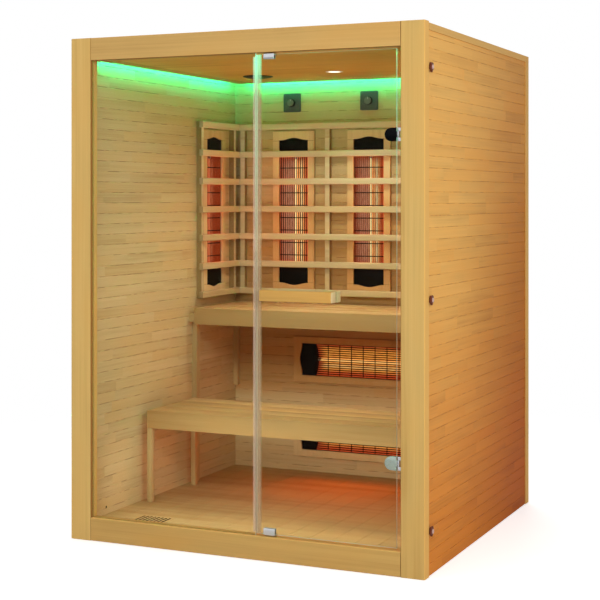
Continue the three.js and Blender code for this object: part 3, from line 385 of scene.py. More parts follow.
def grain(
    finish, place, colour, along, stack, seed, pitch=0.0, origin=0.0, stave=0.0, spread=0.3, groove=0.5
):
    """Colour and height of straight-grained timber, board by board and stave by stave."""
    axes = dict(zip("xyz", place))
    length = axes.pop(along)
    side = axes.pop(stack)
    (depth,) = axes.values()
    row = (side - origin) / pitch if pitch else None
    board = math.floor(row) if pitch else float(seed)
    if stave:
        shift = finish.chance(finish.point(board, seed + 0.5, 0.5)) * STAVE_LOTS if pitch else 0.37
        cell = math.floor(length / stave + shift)
        tone = finish.chance(finish.point(board, cell, seed))
        hue = finish.chance(finish.point(cell, board, seed + 3.0))
    else:
        cell = None
        tone = finish.chance(finish.point(board, seed, seed))
        hue = finish.chance(finish.point(seed, board, seed + 3.0))
    run = length * 1.9 + tone * 11
    streak = finish.noise(finish.point(run, side * 150, depth * 150), detail=3, roughness=0.62)
    figure = finish.noise(finish.point(length * 0.8 + tone * 7, side * 21, depth * 21), detail=2)
    patch = finish.noise(finish.point(length * 2.4 + tone * 5, side * 6, depth * 6), detail=2)
    mix = (tone - 0.5) * spread + (figure - 0.5) * 0.75 + (streak - 0.5) * 0.6 + (patch - 0.5) * 0.5 + 0.5
    shade = finish.ramp(
        mix,
        (0.1, scaled(colour, *DARK_WOOD)),
        (0.44, scaled(colour, 0.94)),
        (0.56, colour),
        (0.92, scaled(colour, *PALE_WOOD)),
    )
    warmth = hue * 0.3 + finish.ease(patch, 0.42, 0.72) * 0.4
    shade = finish.blend(warmth, shade, scaled(colour, *RED_WOOD))
    height = streak
    if pitch:
        edge = abs(finish.sum("FRACT", row + 0.5) - 0.5) * pitch
        line = 1 - finish.ease(edge, 0.0004, 0.0014)
        gap = finish.noise(finish.point(length * 22, math.floor(row + 0.5) * 1.7, seed), detail=2)
        open_joint = finish.ease(gap, 0.42, 0.6)
        # Painted light: along a closed joint the colour is made paler, offsetting the shade of the modelled groove.
        shade = finish.blend(line * (1 - open_joint) * 0.5, shade, scaled(colour, 1.3))
        shade = finish.blend(line * open_joint * groove, shade, scaled(colour, *GROOVE_WOOD))
        height = height - line * open_joint
    return shade, height


def wood_surface(finish, colour, height, gloss=0.44):
    """Oiled timber: satin, with a trace of its grain to the touch."""
    pores = finish.noise(finish.point(*finish.place()), scale=240, detail=2)
    roughness = gloss + height * 0.16 + (pores - 0.5) * 0.1
    return finish.done(
        finish.shader(
            base_color=colour,
            roughness=roughness,
            specular_ior_level=0.06,
            normal=finish.bump(height + pores * 0.4, 0.0005),
        )
    )


def timber(name, colour, along, stack, seed, **boards):
    """A timber of one run of boards."""
    finish = Finish(name)
    return wood_surface(finish, *grain(finish, finish.place(), tuple(colour), along, stack, seed, **boards))


def metal(name, colour, roughness, brushed=0.0):
    """Plated metal with faint brush marks and smears."""
    finish = Finish(name)
    x, y, z = finish.place()
    marks = finish.noise(finish.point(x * 90, y * 90, z * 2400), detail=2)
    smear = finish.noise(finish.point(x, y, z), scale=55, detail=3)
    colour = tuple(colour)
    return finish.done(
        finish.shader(
            base_color=finish.blend(smear * 0.5, colour, scaled(colour, 0.84)),
            metallic=1.0,
            roughness=roughness + smear * 0.1 + marks * brushed,
            normal=finish.bump(marks, 0.00008, 0.4),
        )
    )


def plastic(name, colour, roughness, sheen=0.5, speckle=1600.0, depth=0.00012):
    """Moulded plastic with a fine texture."""
    finish = Finish(name)
    point = finish.point(*finish.place())
    texture = finish.noise(point, scale=speckle, detail=1)
    cloud = finish.noise(point, scale=38, detail=3)
    colour = tuple(colour)
    return finish.done(
        finish.shader(
            base_color=finish.blend(cloud * 0.6, colour, scaled(colour, 1.28)),
            roughness=roughness + (texture - 0.5) * 0.16,
            specular_ior_level=sheen,
            normal=finish.bump(texture, depth),
        )
    )


def clear_glass(name, colour, edge_colour, glow_colour):
    """A clear pane: see-through on its faces, with a polished edge that glows with painted light."""
    finish = Finish(name)
    _, facing, _ = finish.facing()
    x, y, z = finish.place()
    wipe = finish.noise(finish.point(x * 3, y, z * 2), scale=2.2, detail=3)
    mirror = finish.shader(
        base_color=(1, 1, 1, 1), metallic=1.0, roughness=0.015 + finish.ease(wipe, 0.5, 0.8) * 0.03
    )
    clear = finish.node("ShaderNodeBsdfTransparent", None, {"Color": tuple(colour)})
    fresnel = finish.node("ShaderNodeFresnel", None, {"IOR": 1.38})
    inside = finish.node("ShaderNodeNewGeometry", None, None, "Backfacing")
    gleam = finish.sum("MAXIMUM", fresnel - 0.02, 0.0) * (1 - inside) * 0.4
    face = finish.node("ShaderNodeMixShader", None, {0: gleam, 1: clear, 2: mirror})
    edge_tone = finish.noise(finish.point(x * 40, y * 400, z * 6), detail=2)
    edge_colour = tuple(edge_colour)
    # Painted light: the edge's emission is a faint warm glow low down and the cove's green higher up.
    edge = finish.shader(
        base_color=finish.blend(edge_tone * 0.7, edge_colour, scaled(edge_colour, 0.72, 0.84, 0.76)),
        roughness=0.16 + edge_tone * 0.1,
        emission_color=finish.blend(finish.ease(z, 0.9, 1.7), (0.05, 0.04, 0.03, 1), tuple(glow_colour)),
        emission_strength=0.7,
        alpha=0.9,
    )
    return finish.done(finish.node("ShaderNodeMixShader", None, {0: abs(facing) > 0.5, 1: edge, 2: face}))


def smooth_mesh(name, bm, angle=34.0):
    """Turns worked geometry into a mesh that shades round, with its hard edges kept."""
    bmesh.ops.recalc_face_normals(bm, faces=bm.faces)
    mesh = bpy.data.meshes.new(name)
    bm.to_mesh(mesh)
    bm.free()
    mesh.polygons.foreach_set("use_smooth", [True] * len(mesh.polygons))
    mesh.set_sharp_from_angle(angle=math.radians(angle))
    return mesh


def add_piece(name, mesh, materials, body, stands_for=(), place=None):
    """Puts a piece into the scene, on its body."""
    piece = bpy.data.objects.new(name, mesh)
    bpy.context.scene.collection.objects.link(piece)
    if place is not None:
        piece.matrix_world = place
    if not mesh.materials:
        for material in materials:
            mesh.materials.append(material)
    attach(piece, body)
    if stands_for:
        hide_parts(*stands_for)
    return piece


def dress(material, *names):
    """Gives CAD nodes a finish."""
    for name in names:
        slots = NODES[name].material_slots
        if not slots:
            raise RuntimeError(f"{name} has no material slot")
        for slot in slots:
            slot.material = material


def loft(bm, rings, closed=False, material=0):
    """Skins rings of points that follow each other, and caps the ends of an open run."""
    loops = [[bm.verts.new(point) for point in ring] for ring in rings]
    pairs = list(zip(loops, loops[1:]))
    if closed:
        pairs.append((loops[-1], loops[0]))
    faces = []
    for first, second in pairs:
        for i, point in enumerate(first):
            j = (i + 1) % len(first)
            faces.append(bm.faces.new((point, first[j], second[j], second[i])))
    if not closed:
        faces.append(bm.faces.new(list(reversed(loops[0]))))
        faces.append(bm.faces.new(loops[-1]))
    for face in faces:
        face.material_index = material
    return faces


def circle(centre, radius, across, up, sides):
    """Points round a centre, in the plane of two directions."""
    centre, across, up = Vector(centre), Vector(across), Vector(up)
    angles = [math.tau * i / sides for i in range(sides)]
    return [centre + across * (radius * math.cos(a)) + up * (radius * math.sin(a)) for a in angles]


def rod(bm, start, end, radius, sides=10, material=0):
    """A round bar with softened ends."""
    start, end = Vector(start), Vector(end)
    axis = (end - start).normalized()
    across = axis.orthogonal().normalized()
    up = axis.cross(across)
    nose = axis * (radius * 0.4)
    stations = [(start, 0.7), (start + nose, 1.0), (end - nose, 1.0), (end, 0.7)]
    loft(bm, [circle(at, radius * share, across, up, sides) for at, share in stations], material=material)


def turn(bm, profile, sides, material=0):
    """A round body from (radius, height) pairs, about the z axis."""
    rings = [circle((0, 0, height), radius, (1, 0, 0), (0, 1, 0), sides) for radius, height in profile]
    return loft(bm, rings, material=material)


def round_edges(bm, width, segments=2, angle=50.0):
    """Rounds the outward edges that are sharper than an angle."""
    limit = math.radians(angle)
    sharp = [
        edge
        for edge in bm.edges
        if edge.is_manifold and edge.is_convex and edge.calc_face_angle(0) > limit
    ]
    bmesh.ops.bevel(
        bm, geom=sharp, offset=width, segments=segments, profile=0.5, affect="EDGES", clamp_overlap=True
    )


def softened(node, width, materials, body):
    """A CAD node again, with its outward edges eased as a joiner would."""
    bm = bmesh.new()
    bm.from_mesh(NODES[node].data)
    bmesh.ops.remove_doubles(bm, verts=bm.verts, dist=0.00002)
    bmesh.ops.dissolve_limit(bm, angle_limit=math.radians(1), verts=bm.verts, edges=bm.edges)
    round_edges(bm, width)
    return add_piece(f"{node}_eased", smooth_mesh(node, bm), materials, body, (node,))


def arched_end(width, length, rise, spread, steps):
    """Half of a slot's outline: flat shoulders with an arch between them, from right to left."""
    shoulder = length / 2 - rise
    shares = [1 - 2 * i / steps for i in range(steps + 1)]
    arch = [(share * spread, shoulder + rise * (1 + math.cos(math.pi * share)) / 2) for share in shares]
    return [(width / 2, shoulder), *arch, (-width / 2, shoulder)]


class SAUNA_OT_shell(bpy.types.Operator):
    """Finish the walls, the roof, the ceiling and the floor"""

    bl_idname = "sauna.shell"
    bl_label = "Shell"

    def surround_gap_and_shadow(self, finish, u, v, heaters, axis):
        """The dark joint round the outside of each heater's surround, with the surround's shadow painted in, from 0 to
        1.
        """
        nearest = None
        for name in heaters:
            low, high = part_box(f"{name}_heater")
            middle, half = (low + high) / 2, (high - low) / 2
            off_u = abs(u - middle[axis]) - half[axis] - SURROUND_WIDTH
            off_v = abs(v - middle.z) - half.z - SURROUND_WIDTH
            off = finish.sum("MAXIMUM", off_u, off_v)
            nearest = finish.sum("MINIMUM", nearest, off) if nearest else off
        return (nearest > 0) * finish.ease(nearest, 0.006, 0.001)

    def lintel_joint(self, finish, u, v, heaters, axis):
        """The joints between the uprights and the cross pieces of each surround, from 0 to 1."""
        joint = None
        for name in heaters:
            low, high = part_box(f"{name}_heater")
            middle, half = (low + high) / 2, (high - low) / 2
            level = abs(abs(v - middle.z) - half.z + 0.014) < 0.0009
            beside = abs(abs(u - middle[axis]) - half[axis] - SURROUND_WIDTH / 2) < SURROUND_WIDTH / 2
            joint = joint + level * beside if joint else level * beside
        return joint

    def side_wall(self, name, timber_set, seed, falloff_shade, hole=None):
        """A side wall: boards inside and out, the surround of its heater, and painted shade on its outer boards."""
        finish = Finish(name)
        place = finish.place()
        boards = {"pitch": timber_set.board_pitch, "stave": timber_set.stave_length}
        outer = grain(finish, place, tuple(timber_set.outer_colour), "y", "z", seed, groove=0.4, spread=0.14, **boards)
        inner = grain(finish, place, tuple(timber_set.inner_colour), "y", "z", seed + 1, groove=0.75, spread=0.2, **boards)
        trim = grain(finish, place, tuple(timber_set.surround_colour), "z", "y", seed + 2)
        # Painted shade: the outer boards grow darker and redder towards the rear and the floor, as the front light
        # falls off. It is full on the right wall and weaker on the left.
        rear = finish.ease(place[1], -0.5, 0.7) * (1 - finish.ease(place[2], 1.1, 1.8) * 0.4) * falloff_shade
        foot = finish.ease(place[2], 1.25, 0.05) * falloff_shade
        shade = finish.blend(rear, outer[0], finish.blend(1.0, outer[0], REAR_FALLOFF_SHADE, "MULTIPLY"))
        outer = (finish.blend(foot, shade, finish.blend(1.0, shade, FOOT_FALLOFF_SHADE, "MULTIPLY")), outer[1])
        reach = abs(place[0])
        low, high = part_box(name)
        outside = reach > max(abs(low.x), abs(high.x)) - 0.018
        face = max(abs(low.x), abs(high.x)) - 0.04
        proud = reach < face - 0.001
        heaters = (name.split("_")[0],)
        # Dark joint and painted shadow round the surround.
        gap = self.surround_gap_and_shadow(finish, place[1], place[2], heaters, 1) * 0.7
        inner = (finish.blend(gap, inner[0], scaled(timber_set.inner_colour, *GAP_AND_SHADOW_WOOD)), inner[1])
        joint = self.lintel_joint(finish, place[1], place[2], heaters, 1) * 0.7
        trim = (finish.blend(joint, trim[0], scaled(timber_set.surround_colour, *GAP_AND_SHADOW_WOOD)), trim[1])
        if hole:
            hole_y, hole_z, radius = hole
            off_y, off_z = place[1] - hole_y, place[2] - hole_z
            # Painted shade: a near-black disc stands for the dark inside of the hole.
            mask = off_y * off_y + off_z * off_z < radius * radius
            inner = (finish.blend(mask, inner[0], scaled(timber_set.inner_colour, 0.06)), inner[1])
        return self.layered(finish, inner, (outside, outer), (proud, trim))

    def back_wall(self, timber_set, seed):
        """The back wall: boards inside, a plain sheet outside, trim at its ends."""
        finish = Finish("back_wall")
        place = finish.place()
        boards = {"pitch": timber_set.board_pitch, "stave": timber_set.stave_length}
        inner_colour = scaled(timber_set.inner_colour, 1.14)
        inner = grain(finish, place, inner_colour, "x", "z", seed, groove=0.75, spread=0.2, **boards)
        trim = grain(finish, place, scaled(timber_set.surround_colour, 1.2), "z", "x", seed + 2)
        sheet = grain(finish, place, tuple(timber_set.outer_colour), "z", "x", seed + 3, pitch=0.3, stave=2.4)
        edge = grain(finish, place, tuple(timber_set.roof_colour), "z", "y", seed + 4)
        # Painted shade and painted heater glow: the inner boards and trim between the benches are darker and more
        # orange.
        glow_and_shade = finish.ease(place[2], 1.46, 1.24) * finish.ease(place[2], 0.36, 0.46)
        inner = (finish.blend(glow_and_shade, inner[0], finish.blend(1.0, inner[0], HEATER_GLOW_SHADE_WOOD, "MULTIPLY")), inner[1])
        trim = (finish.blend(glow_and_shade, trim[0], finish.blend(1.0, trim[0], HEATER_GLOW_SHADE_WOOD, "MULTIPLY")), trim[1])
        # Painted shade: the surround trim below the upper bench is darker.
        low_trim_shade = finish.blend(1.0, trim[0], LOW_TRIM_SHADE_WOOD, "MULTIPLY")
        trim = (finish.blend(finish.ease(place[2], 0.86, 0.76), trim[0], low_trim_shade), trim[1])
        # Dark joint and painted shadow round each surround.
        gap = self.surround_gap_and_shadow(finish, place[0], place[2], BACK_HEATERS + LOW_HEATERS, 0) * 0.7
        inner = (finish.blend(gap, inner[0], scaled(inner_colour, *GAP_AND_SHADOW_WOOD)), inner[1])
        joint = self.lintel_joint(finish, place[0], place[2], BACK_HEATERS, 0) * 0.7
        trim = (finish.blend(joint, trim[0], scaled(timber_set.surround_colour, *GAP_AND_SHADOW_WOOD)), trim[1])
        low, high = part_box("back_wall")
        face = high.y - 0.045
        layers = (
            (place[1] < face - 0.001, trim),
            (place[1] > high.y - 0.004, sheet),
            (abs(place[0]) > high.x - 0.0035, edge),
        )
        return self.layered(finish, inner, *layers)

    def ceiling(self, timber_set, seed):
        """The ceiling panel, with a darker border along its free edges."""
        finish = Finish("ceiling_panel")
        place = finish.place()
        colour = tuple(timber_set.ceiling_colour)
        shade, height = grain(finish, place, colour, "x", "y", seed, pitch=0.24, stave=0.7, groove=0.1)
        low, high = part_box("ceiling_panel")
        sides = finish.sum("MINIMUM", place[0] - low.x, high.x - place[0])
        inset = finish.sum("MINIMUM", sides, high.y - place[1])
        border = timber_set.ceiling_border
        rim = (inset < border) * 0.55 + (abs(inset - border) < 0.004) * 0.3
        return wood_surface(finish, finish.blend(rim, shade, scaled(colour, *SHADE_WOOD)), height)

    def vent(self, timber_set, seed):
        """The floor vent: pale bars, their sides painted near black as painted shade in the slits between them."""
        finish = Finish("vent_timber")
        colour = tuple(timber_set.floor_colour)
        shade, height = grain(finish, finish.place(), colour, "y", "x", seed)
        # Painted shade: the sides of the bars are near black.
        slit_shade = abs(finish.facing()[2]) < 0.5
        return wood_surface(finish, finish.blend(slit_shade, shade, scaled(colour, 0.08)), height)

    def layered(self, finish, base, *layers):
        """One surface from several timbers, each with the mask of where it shows."""
        colour, height = base
        for mask, (layer_colour, layer_height) in layers:
            colour = finish.blend(mask, colour, layer_colour)
            height = height + (layer_height - height) * mask
        return wood_surface(finish, colour, height)

    def execute(self, context):
        timber_set = context.scene.sauna_timber
        dress(self.side_wall("left_wall", timber_set, 11, 0.35, hole=(-0.485, 0.088, 0.005)), "left_wall")
        dress(self.side_wall("right_wall", timber_set, 23, 1.0), "right_wall")
        dress(self.back_wall(timber_set, 37), "back_wall")
        dress(timber("roof_panel", timber_set.roof_colour, "y", "x", 41), "roof_panel")
        dress(self.ceiling(timber_set, 43), "ceiling_panel")
        dress(timber("floor_boards", timber_set.floor_colour, "x", "y", 47), "floor_panel")
        dress(self.vent(timber_set, 53), "floor_vent_grille")
        return {"FINISHED"}


class SAUNA_OT_front_frame(bpy.types.Operator):
    """Finish the stiles and rails of the front"""

    bl_idname = "sauna.front_frame"
    bl_label = "Front frame"

    def member(self, name, colour, outer_colour, along, stack, seed, inward, painted_edge_tone):
        """A frame member with painted shade on the edge that holds the glass (a painted highlight there on the bottom
        rail), and the outer boards' tone on its outer edge.
        """
        finish = Finish(name)
        place = finish.place()
        shade, height = grain(finish, place, tuple(colour), along, stack, seed)
        axis, sign = inward
        edge = finish.facing()[axis] * sign > 0.5
        glass_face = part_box("fixed_glass")[0].y
        edge = edge * (place[1] < glass_face)
        # Painted shade on the glass-holding edge in front of the pane; the bottom rail gets a painted highlight here
        # instead.
        shade = finish.blend(edge * 0.85, shade, scaled(colour, *painted_edge_tone))
        rim = finish.facing()[axis] * sign < -0.5
        shade = finish.blend(rim * 0.9, shade, scaled(outer_colour, 0.98))
        dress(wood_surface(finish, shade, height), f"front_{name}")

    def execute(self, context):
        timber_set = context.scene.sauna_timber
        stile, rail, outer = timber_set.stile_colour, timber_set.rail_colour, timber_set.outer_colour
        self.member("left_stile", scaled(stile, 1.08), outer, "z", "x", 61, (0, 1), REBATE_SHADE_WOOD)
        self.member("right_stile", stile, outer, "z", "x", 64, (0, -1), REBATE_SHADE_WOOD)
        self.member("top_rail", rail, outer, "x", "z", 67, (2, -1), REBATE_SHADE_WOOD)
        # The bottom rail's upward face gets a painted highlight.
        self.member("bottom_rail", scaled(rail, 0.98, 1.01, 1.0), outer, "x", "z", 71, (2, 1), SILL_HIGHLIGHT_WOOD)
        return {"FINISHED"}


class SAUNA_OT_glass(bpy.types.Operator):
    """Finish the panes and the door's seal"""

    bl_idname = "sauna.glass"
    bl_label = "Glass"

    def vinyl(self, name, colour, pipe_colour, alpha):
        """Clear extruded strip, clouded here and there, with the cove's light painted on its upper part as a glow."""
        finish = Finish(name)
        x, y, z = finish.place()
        cloud = finish.noise(finish.point(x * 30, y * 30, z * 5), detail=2)
        colour = tuple(colour)
        return finish.done(
            finish.shader(
                base_color=finish.blend(cloud * 0.6, colour, scaled(colour, 1.2)),
                roughness=0.2 + cloud * 0.12,
                # Painted light: the strip's upper part glows in the cove's colour.
                emission_color=finish.blend(finish.ease(z, 1.69, 1.83), (0, 0, 0, 1), tuple(pipe_colour)),
                emission_strength=1.0,
                alpha=alpha,
            )
        )

    def strip(self, glass):
        """A pale channel over the free edge of the fixed pane, from rail to rail."""
        low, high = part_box("fixed_glass")
        wall, play = 0.0012, 0.0002
        inner, edge = high.x - glass.strip_width, high.x + play
        front, back = low.y - play, high.y + play
        section = [
            (inner, front - wall), (edge + wall, front - wall), (edge + wall, back + wall), (inner, back + wall),
            (inner, back), (edge, back), (edge, front), (inner, front),
        ]
        levels = (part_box("front_bottom_rail")[1].z + 0.001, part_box("front_top_rail")[0].z - 0.001)
        bm = bmesh.new()
        loft(bm, [[(x, y, z) for x, y in section] for z in levels])
        finish = self.vinyl("pane_strip", glass.strip_colour, glass.pipe_colour, 0.2)
        add_piece("fixed_pane_strip", smooth_mesh("pane_strip", bm), (finish,), "cabin")

    def execute(self, context):
        glass = context.scene.sauna_glass
        dress(clear_glass("pane", glass.pane_colour, glass.edge_colour, glass.edge_glow), "fixed_glass", "door_glass")
        dress(self.vinyl("seal", glass.seal_colour, glass.pipe_colour, 0.24), "door_edge_seal")
        self.strip(glass)
        return {"FINISHED"}


class SAUNA_OT_benches(bpy.types.Operator):
    """Ease and finish the benches, their legs and their frame"""

    bl_idname = "sauna.benches"
    bl_label = "Benches"

    def execute(self, context):
        timber_set = context.scene.sauna_timber
        colour = timber_set.bench_colour
        for seed, name, share in ((73, "upper_bench", 0.98), (79, "lower_bench", 1.12)):
            low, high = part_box(name)
            pitch = (high.y - low.y) / 4
            tone = scaled(colour, share)
            finish = Finish(name)
            boards = {"pitch": pitch, "origin": low.y - 0.003, "groove": 0.15}
            shade, height = grain(finish, finish.place(), tone, "x", "y", seed, **boards)
            # Painted shade: the upright faces of each bench are darker than its top.
            fascia = abs(finish.facing()[1]) > 0.5
            shade = finish.blend(fascia, shade, finish.blend(1.0, shade, FASCIA_SHADE_WOOD, "MULTIPLY"))
            board = wood_surface(finish, shade, height)
            softened(name, timber_set.arris, (board,), "cabin")
        legs = timber("bench_legs", colour, "z", "x", 83)
        softened("left_bench_legs", timber_set.arris, (legs,), "cabin")
        softened("right_bench_legs", timber_set.arris, (legs,), "cabin")
        dress(timber("bench_frame", colour, "z", "x", 89), "upper_bench_frame")
        return {"FINISHED"}


class SAUNA_OT_backrests(bpy.types.Operator):
    """Finish the slatted backrests"""

    bl_idname = "sauna.backrests"
    bl_label = "Backrests"

    def lattice(self, name, colour, along, seed, room_side):
        """Slats that run one way over battens that run up the wall."""
        finish = Finish(name)
        place = finish.place()
        low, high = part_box(name)
        pitch = (high.z - low.z) / SLAT_PITCHES
        origin = low.z - pitch / 3
        slats = grain(finish, place, colour, along, "z", seed, pitch=pitch, origin=origin, groove=0)
        # Painted shade: the battens, set back behind the slats, are darker.
        battens = grain(finish, place, scaled(colour, *BATTEN_SHADE_WOOD), "z", along, seed + 2)
        behind = room_side(finish, place)
        # Painted light: the top slats are made paler, as if lit by the lamp above.
        top = finish.ease(place[2], high.z - pitch * 3.0, high.z - pitch * 1.2)
        bright = finish.blend(top, slats[0], finish.blend(1.0, slats[0], TOP_SLAT_LIGHT_WOOD, "MULTIPLY"))
        shade = finish.blend(behind, bright, battens[0])
        # End faces of slats and battens are darker: end grain, with painted shade.
        end_grain_shade = abs(finish.facing()["xyz".index(along)]) > 0.5
        shade = finish.blend(end_grain_shade * 0.6, shade, scaled(colour, *SHADE_WOOD))
        return wood_surface(finish, shade, battens[1])

    def execute(self, context):
        colour = tuple(context.scene.sauna_timber.slat_colour)
        thickness = 0.0182
        back_low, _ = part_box("back_backrest")
        left_low, left_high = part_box("left_backrest")
        right_low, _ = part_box("right_backrest")
        sides = {
            "back_backrest": ("x", 91, lambda f, p: p[1] > back_low.y + thickness),
            "left_backrest": ("y", 95, lambda f, p: p[0] < left_high.x - thickness),
            "right_backrest": ("y", 99, lambda f, p: p[0] > right_low.x + thickness),
        }
        for name, (along, seed, room_side) in sides.items():
            dress(self.lattice(name, colour, along, seed, room_side), name)
        return {"FINISHED"}


class SAUNA_OT_heaters(bpy.types.Operator):
    """Make the heater units: caps, reflector, guard and tube"""

    bl_idname = "sauna.heaters"
    bl_label = "Heaters"

    def place(self, name, proud):
        """Where a unit sits: x across it, z along it and -y into the room."""
        low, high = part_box(f"{name}_heater")
        middle = (low + high) / 2
        quarter = math.pi / 2
        if name == "left":
            origin, turn_by = (high.x - proud, middle.y, middle.z), (0, 0, quarter)
        elif name == "right":
            origin, turn_by = (low.x + proud, middle.y, middle.z), (0, 0, -quarter)
        else:
            lying = quarter if name in LOW_HEATERS else 0
            origin, turn_by = (middle.x, low.y + proud, middle.z), (0, lying, 0)
        return Matrix.Translation(origin) @ Euler(turn_by).to_matrix().to_4x4()

    def housing(self, heater):
        """End caps with arched ends, and the lips that join them."""
        bm = bmesh.new()
        half = heater.width / 2
        reach = heater.length / 2 - heater.cap_length
        arch = arched_end(heater.width, heater.length, heater.arch, heater.arch_spread, 24)
        cap = [(-half, reach), (half, reach), *arch]
        back = heater.tray_depth + 0.004
        for sign in (1, -1):
            loft(bm, [[(x, y, sign * z) for x, z in cap] for y in (-heater.cap_proud, back)])
            inner, outer = sign * (half - 0.003), sign * half
            lip = [(inner, -0.006), (outer, -0.006), (outer, back), (inner, back)]
            loft(bm, [[(x, y, z) for x, y in lip] for z in (-reach, reach)])
        bmesh.ops.recalc_face_normals(bm, faces=bm.faces)
        round_edges(bm, 0.0012)
        return smooth_mesh("heater_housing", bm)

    def reflector(self, heater):
        """A polished trough behind the tube."""
        bm = bmesh.new()
        half = heater.width / 2 - 0.0032
        reach = heater.length / 2 - heater.cap_length
        steps = 28
        shares = [2 * i / steps - 1 for i in range(steps + 1)]
        rise = heater.tray_depth + 0.0045
        front = [(half * s, heater.tray_depth - 0.0015 - rise * s * s) for s in shares]
        rear = [(x, y + 0.0015) for x, y in reversed(front)]
        loft(bm, [[(x, y, z) for x, y in front + rear] for z in (-reach, reach)])
        return smooth_mesh("heater_reflector", bm)

    def guard(self, heater):
        """Long wires welded over cross bars."""
        bm = bmesh.new()
        half = heater.width / 2
        reach = heater.length / 2 - heater.cap_length
        front = -0.007
        behind = front + heater.long_wire * 0.2 + heater.cross_wire / 2
        for i in range(heater.long_wires):
            x = (half - 0.0005) * (2 * (i + 1) / (heater.long_wires + 1) - 1)
            ends = ((x, front, -reach - 0.003), (x, front, reach + 0.003))
            loft(bm, [circle(end, heater.long_wire / 2, (1, 0, 0), (0, 0.4, 0), 10) for end in ends])
        for i in range(heater.cross_wires):
            z = reach * (2 * (i + 1) / (heater.cross_wires + 1) - 1)
            rod(bm, (0.0005 - half, behind, z), (half - 0.0005, behind, z), heater.cross_wire / 2, 8)
        return smooth_mesh("heater_guard", bm)

    def tube(self, heater):
        """The quartz tube, with a ceramic sleeve at each end."""
        bm = bmesh.new()
        reach = heater.length / 2 - heater.cap_length
        end = reach + 0.0115
        radius = heater.tube_radius
        turn(bm, [(radius * 0.8, -end), (radius, 0.001 - end), (radius, end - 0.001), (radius * 0.8, end)], 28)
        for sign in (1, -1):
            levels = [(radius + 0.0002, reach - 0.016), (radius + 0.0022, reach - 0.0145)]
            levels += [(radius + 0.0022, reach - 0.0005)]
            turn(bm, [(r, sign * z) for r, z in levels], 28, material=1)
        bmesh.ops.translate(bm, verts=bm.verts, vec=(0, heater.tube_set, 0))
        return smooth_mesh("heater_tube", bm)

    def reflector_finish(self, name, heater, dull, glow, hot):
        """Polished metal, with the tube's reflection and glow painted on as emission: duller on one side, glowing on
        the other.
        """
        finish = Finish(name)
        x, y, z = finish.place()
        half = heater.width / 2
        reach = heater.length / 2 - heater.cap_length
        ripple = finish.noise(finish.point(x * 150, 0.0, z * 9), detail=3)
        off = x / half * 0.5 + 0.5 + (ripple - 0.5) * 0.14
        ember = tuple(heater.ember_colour)
        # Painted reflection and glow: a bright band where the tube would mirror, dull on the room side, ember at the
        # sides.
        heat = finish.ramp(
            off,
            (0.02, scaled(ember, 0.5)),
            (0.2, dull),
            (0.4, dull),
            (0.5, glow),
            (0.62, glow),
            (0.7, hot),
            (0.77, glow),
            (0.88, ember),
        )
        ends = finish.ease(abs(z), reach, reach - 0.05)
        spark = finish.noise(finish.point(x * 420, 0.0, z * 30), detail=2)
        heat = finish.blend(finish.ease(spark, 0.45, 0.65) * 0.6, heat, scaled(ember, 0.5))
        return finish.done(
            finish.shader(
                base_color=tuple(heater.reflector_colour),
                metallic=1.0,
                roughness=0.3 + ripple * 0.16,
                emission_color=finish.blend(ends, scaled(ember, 0.6), heat),
                emission_strength=0.95,
            )
        )

    def tube_finish(self, name, hot):
        """A tube that glows, brightest along its coil."""
        finish = Finish(name)
        x, y, z = finish.place()
        sockets = {"Vector": finish.point(x, y, z), "Scale": 110.0}
        coil = finish.node("ShaderNodeTexWave", {"bands_direction": "Z"}, sockets, "Fac") * 0.35
        return finish.done(
            finish.shader(
                base_color=scaled(hot, 0.5),
                roughness=0.2,
                emission_color=finish.blend(coil, hot, scaled(hot, 0.95, 0.6, 0.3)),
                emission_strength=1.1,
            )
        )

    def execute(self, context):
        heater = context.scene.sauna_heaters
        cap = plastic("heater_cap", heater.cap_colour, 0.6, sheen=0.15)
        wire = plastic("guard_wire", heater.wire_colour, 0.6, sheen=0.1)
        ceramic = plastic("ceramic", tint(222, 206, 186), 0.5)
        housing = (self.housing(heater), (cap,), "black_steel")
        guard = (self.guard(heater), (wire,), "black_steel")
        kinds = (
            ("back", BACK_HEATERS, heater.dull_colour, heater.glow_colour, heater.tube_colour),
            ("side", SIDE_HEATERS, heater.red_colour, heater.ember_colour, heater.red_tube),
            ("low", LOW_HEATERS, heater.low_colour, heater.low_colour, heater.low_tube),
        )
        nodes = {"housing": "heater", "quartz": "heater_tube"}
        for kind, names, dull, glow, hot in kinds:
            trough = self.reflector_finish(f"{kind}_reflector", heater, tuple(dull), tuple(glow), tuple(hot))
            reflector = (self.reflector(heater), (trough,), "black_steel")
            quartz = (self.tube(heater), (self.tube_finish(f"{kind}_tube", tuple(hot)), ceramic), "quartz")
            parts = {"housing": housing, "reflector": reflector, "guard": guard, "quartz": quartz}
            for name in names:
                place = self.place(name, heater.cap_proud)
                for part, (mesh, materials, slot) in parts.items():
                    stands_for = (f"{name}_{nodes[part]}",) if part in nodes else ()
                    add_piece(f"{name}_{part}", mesh, materials, "cabin", stands_for, place)
        return {"FINISHED"}


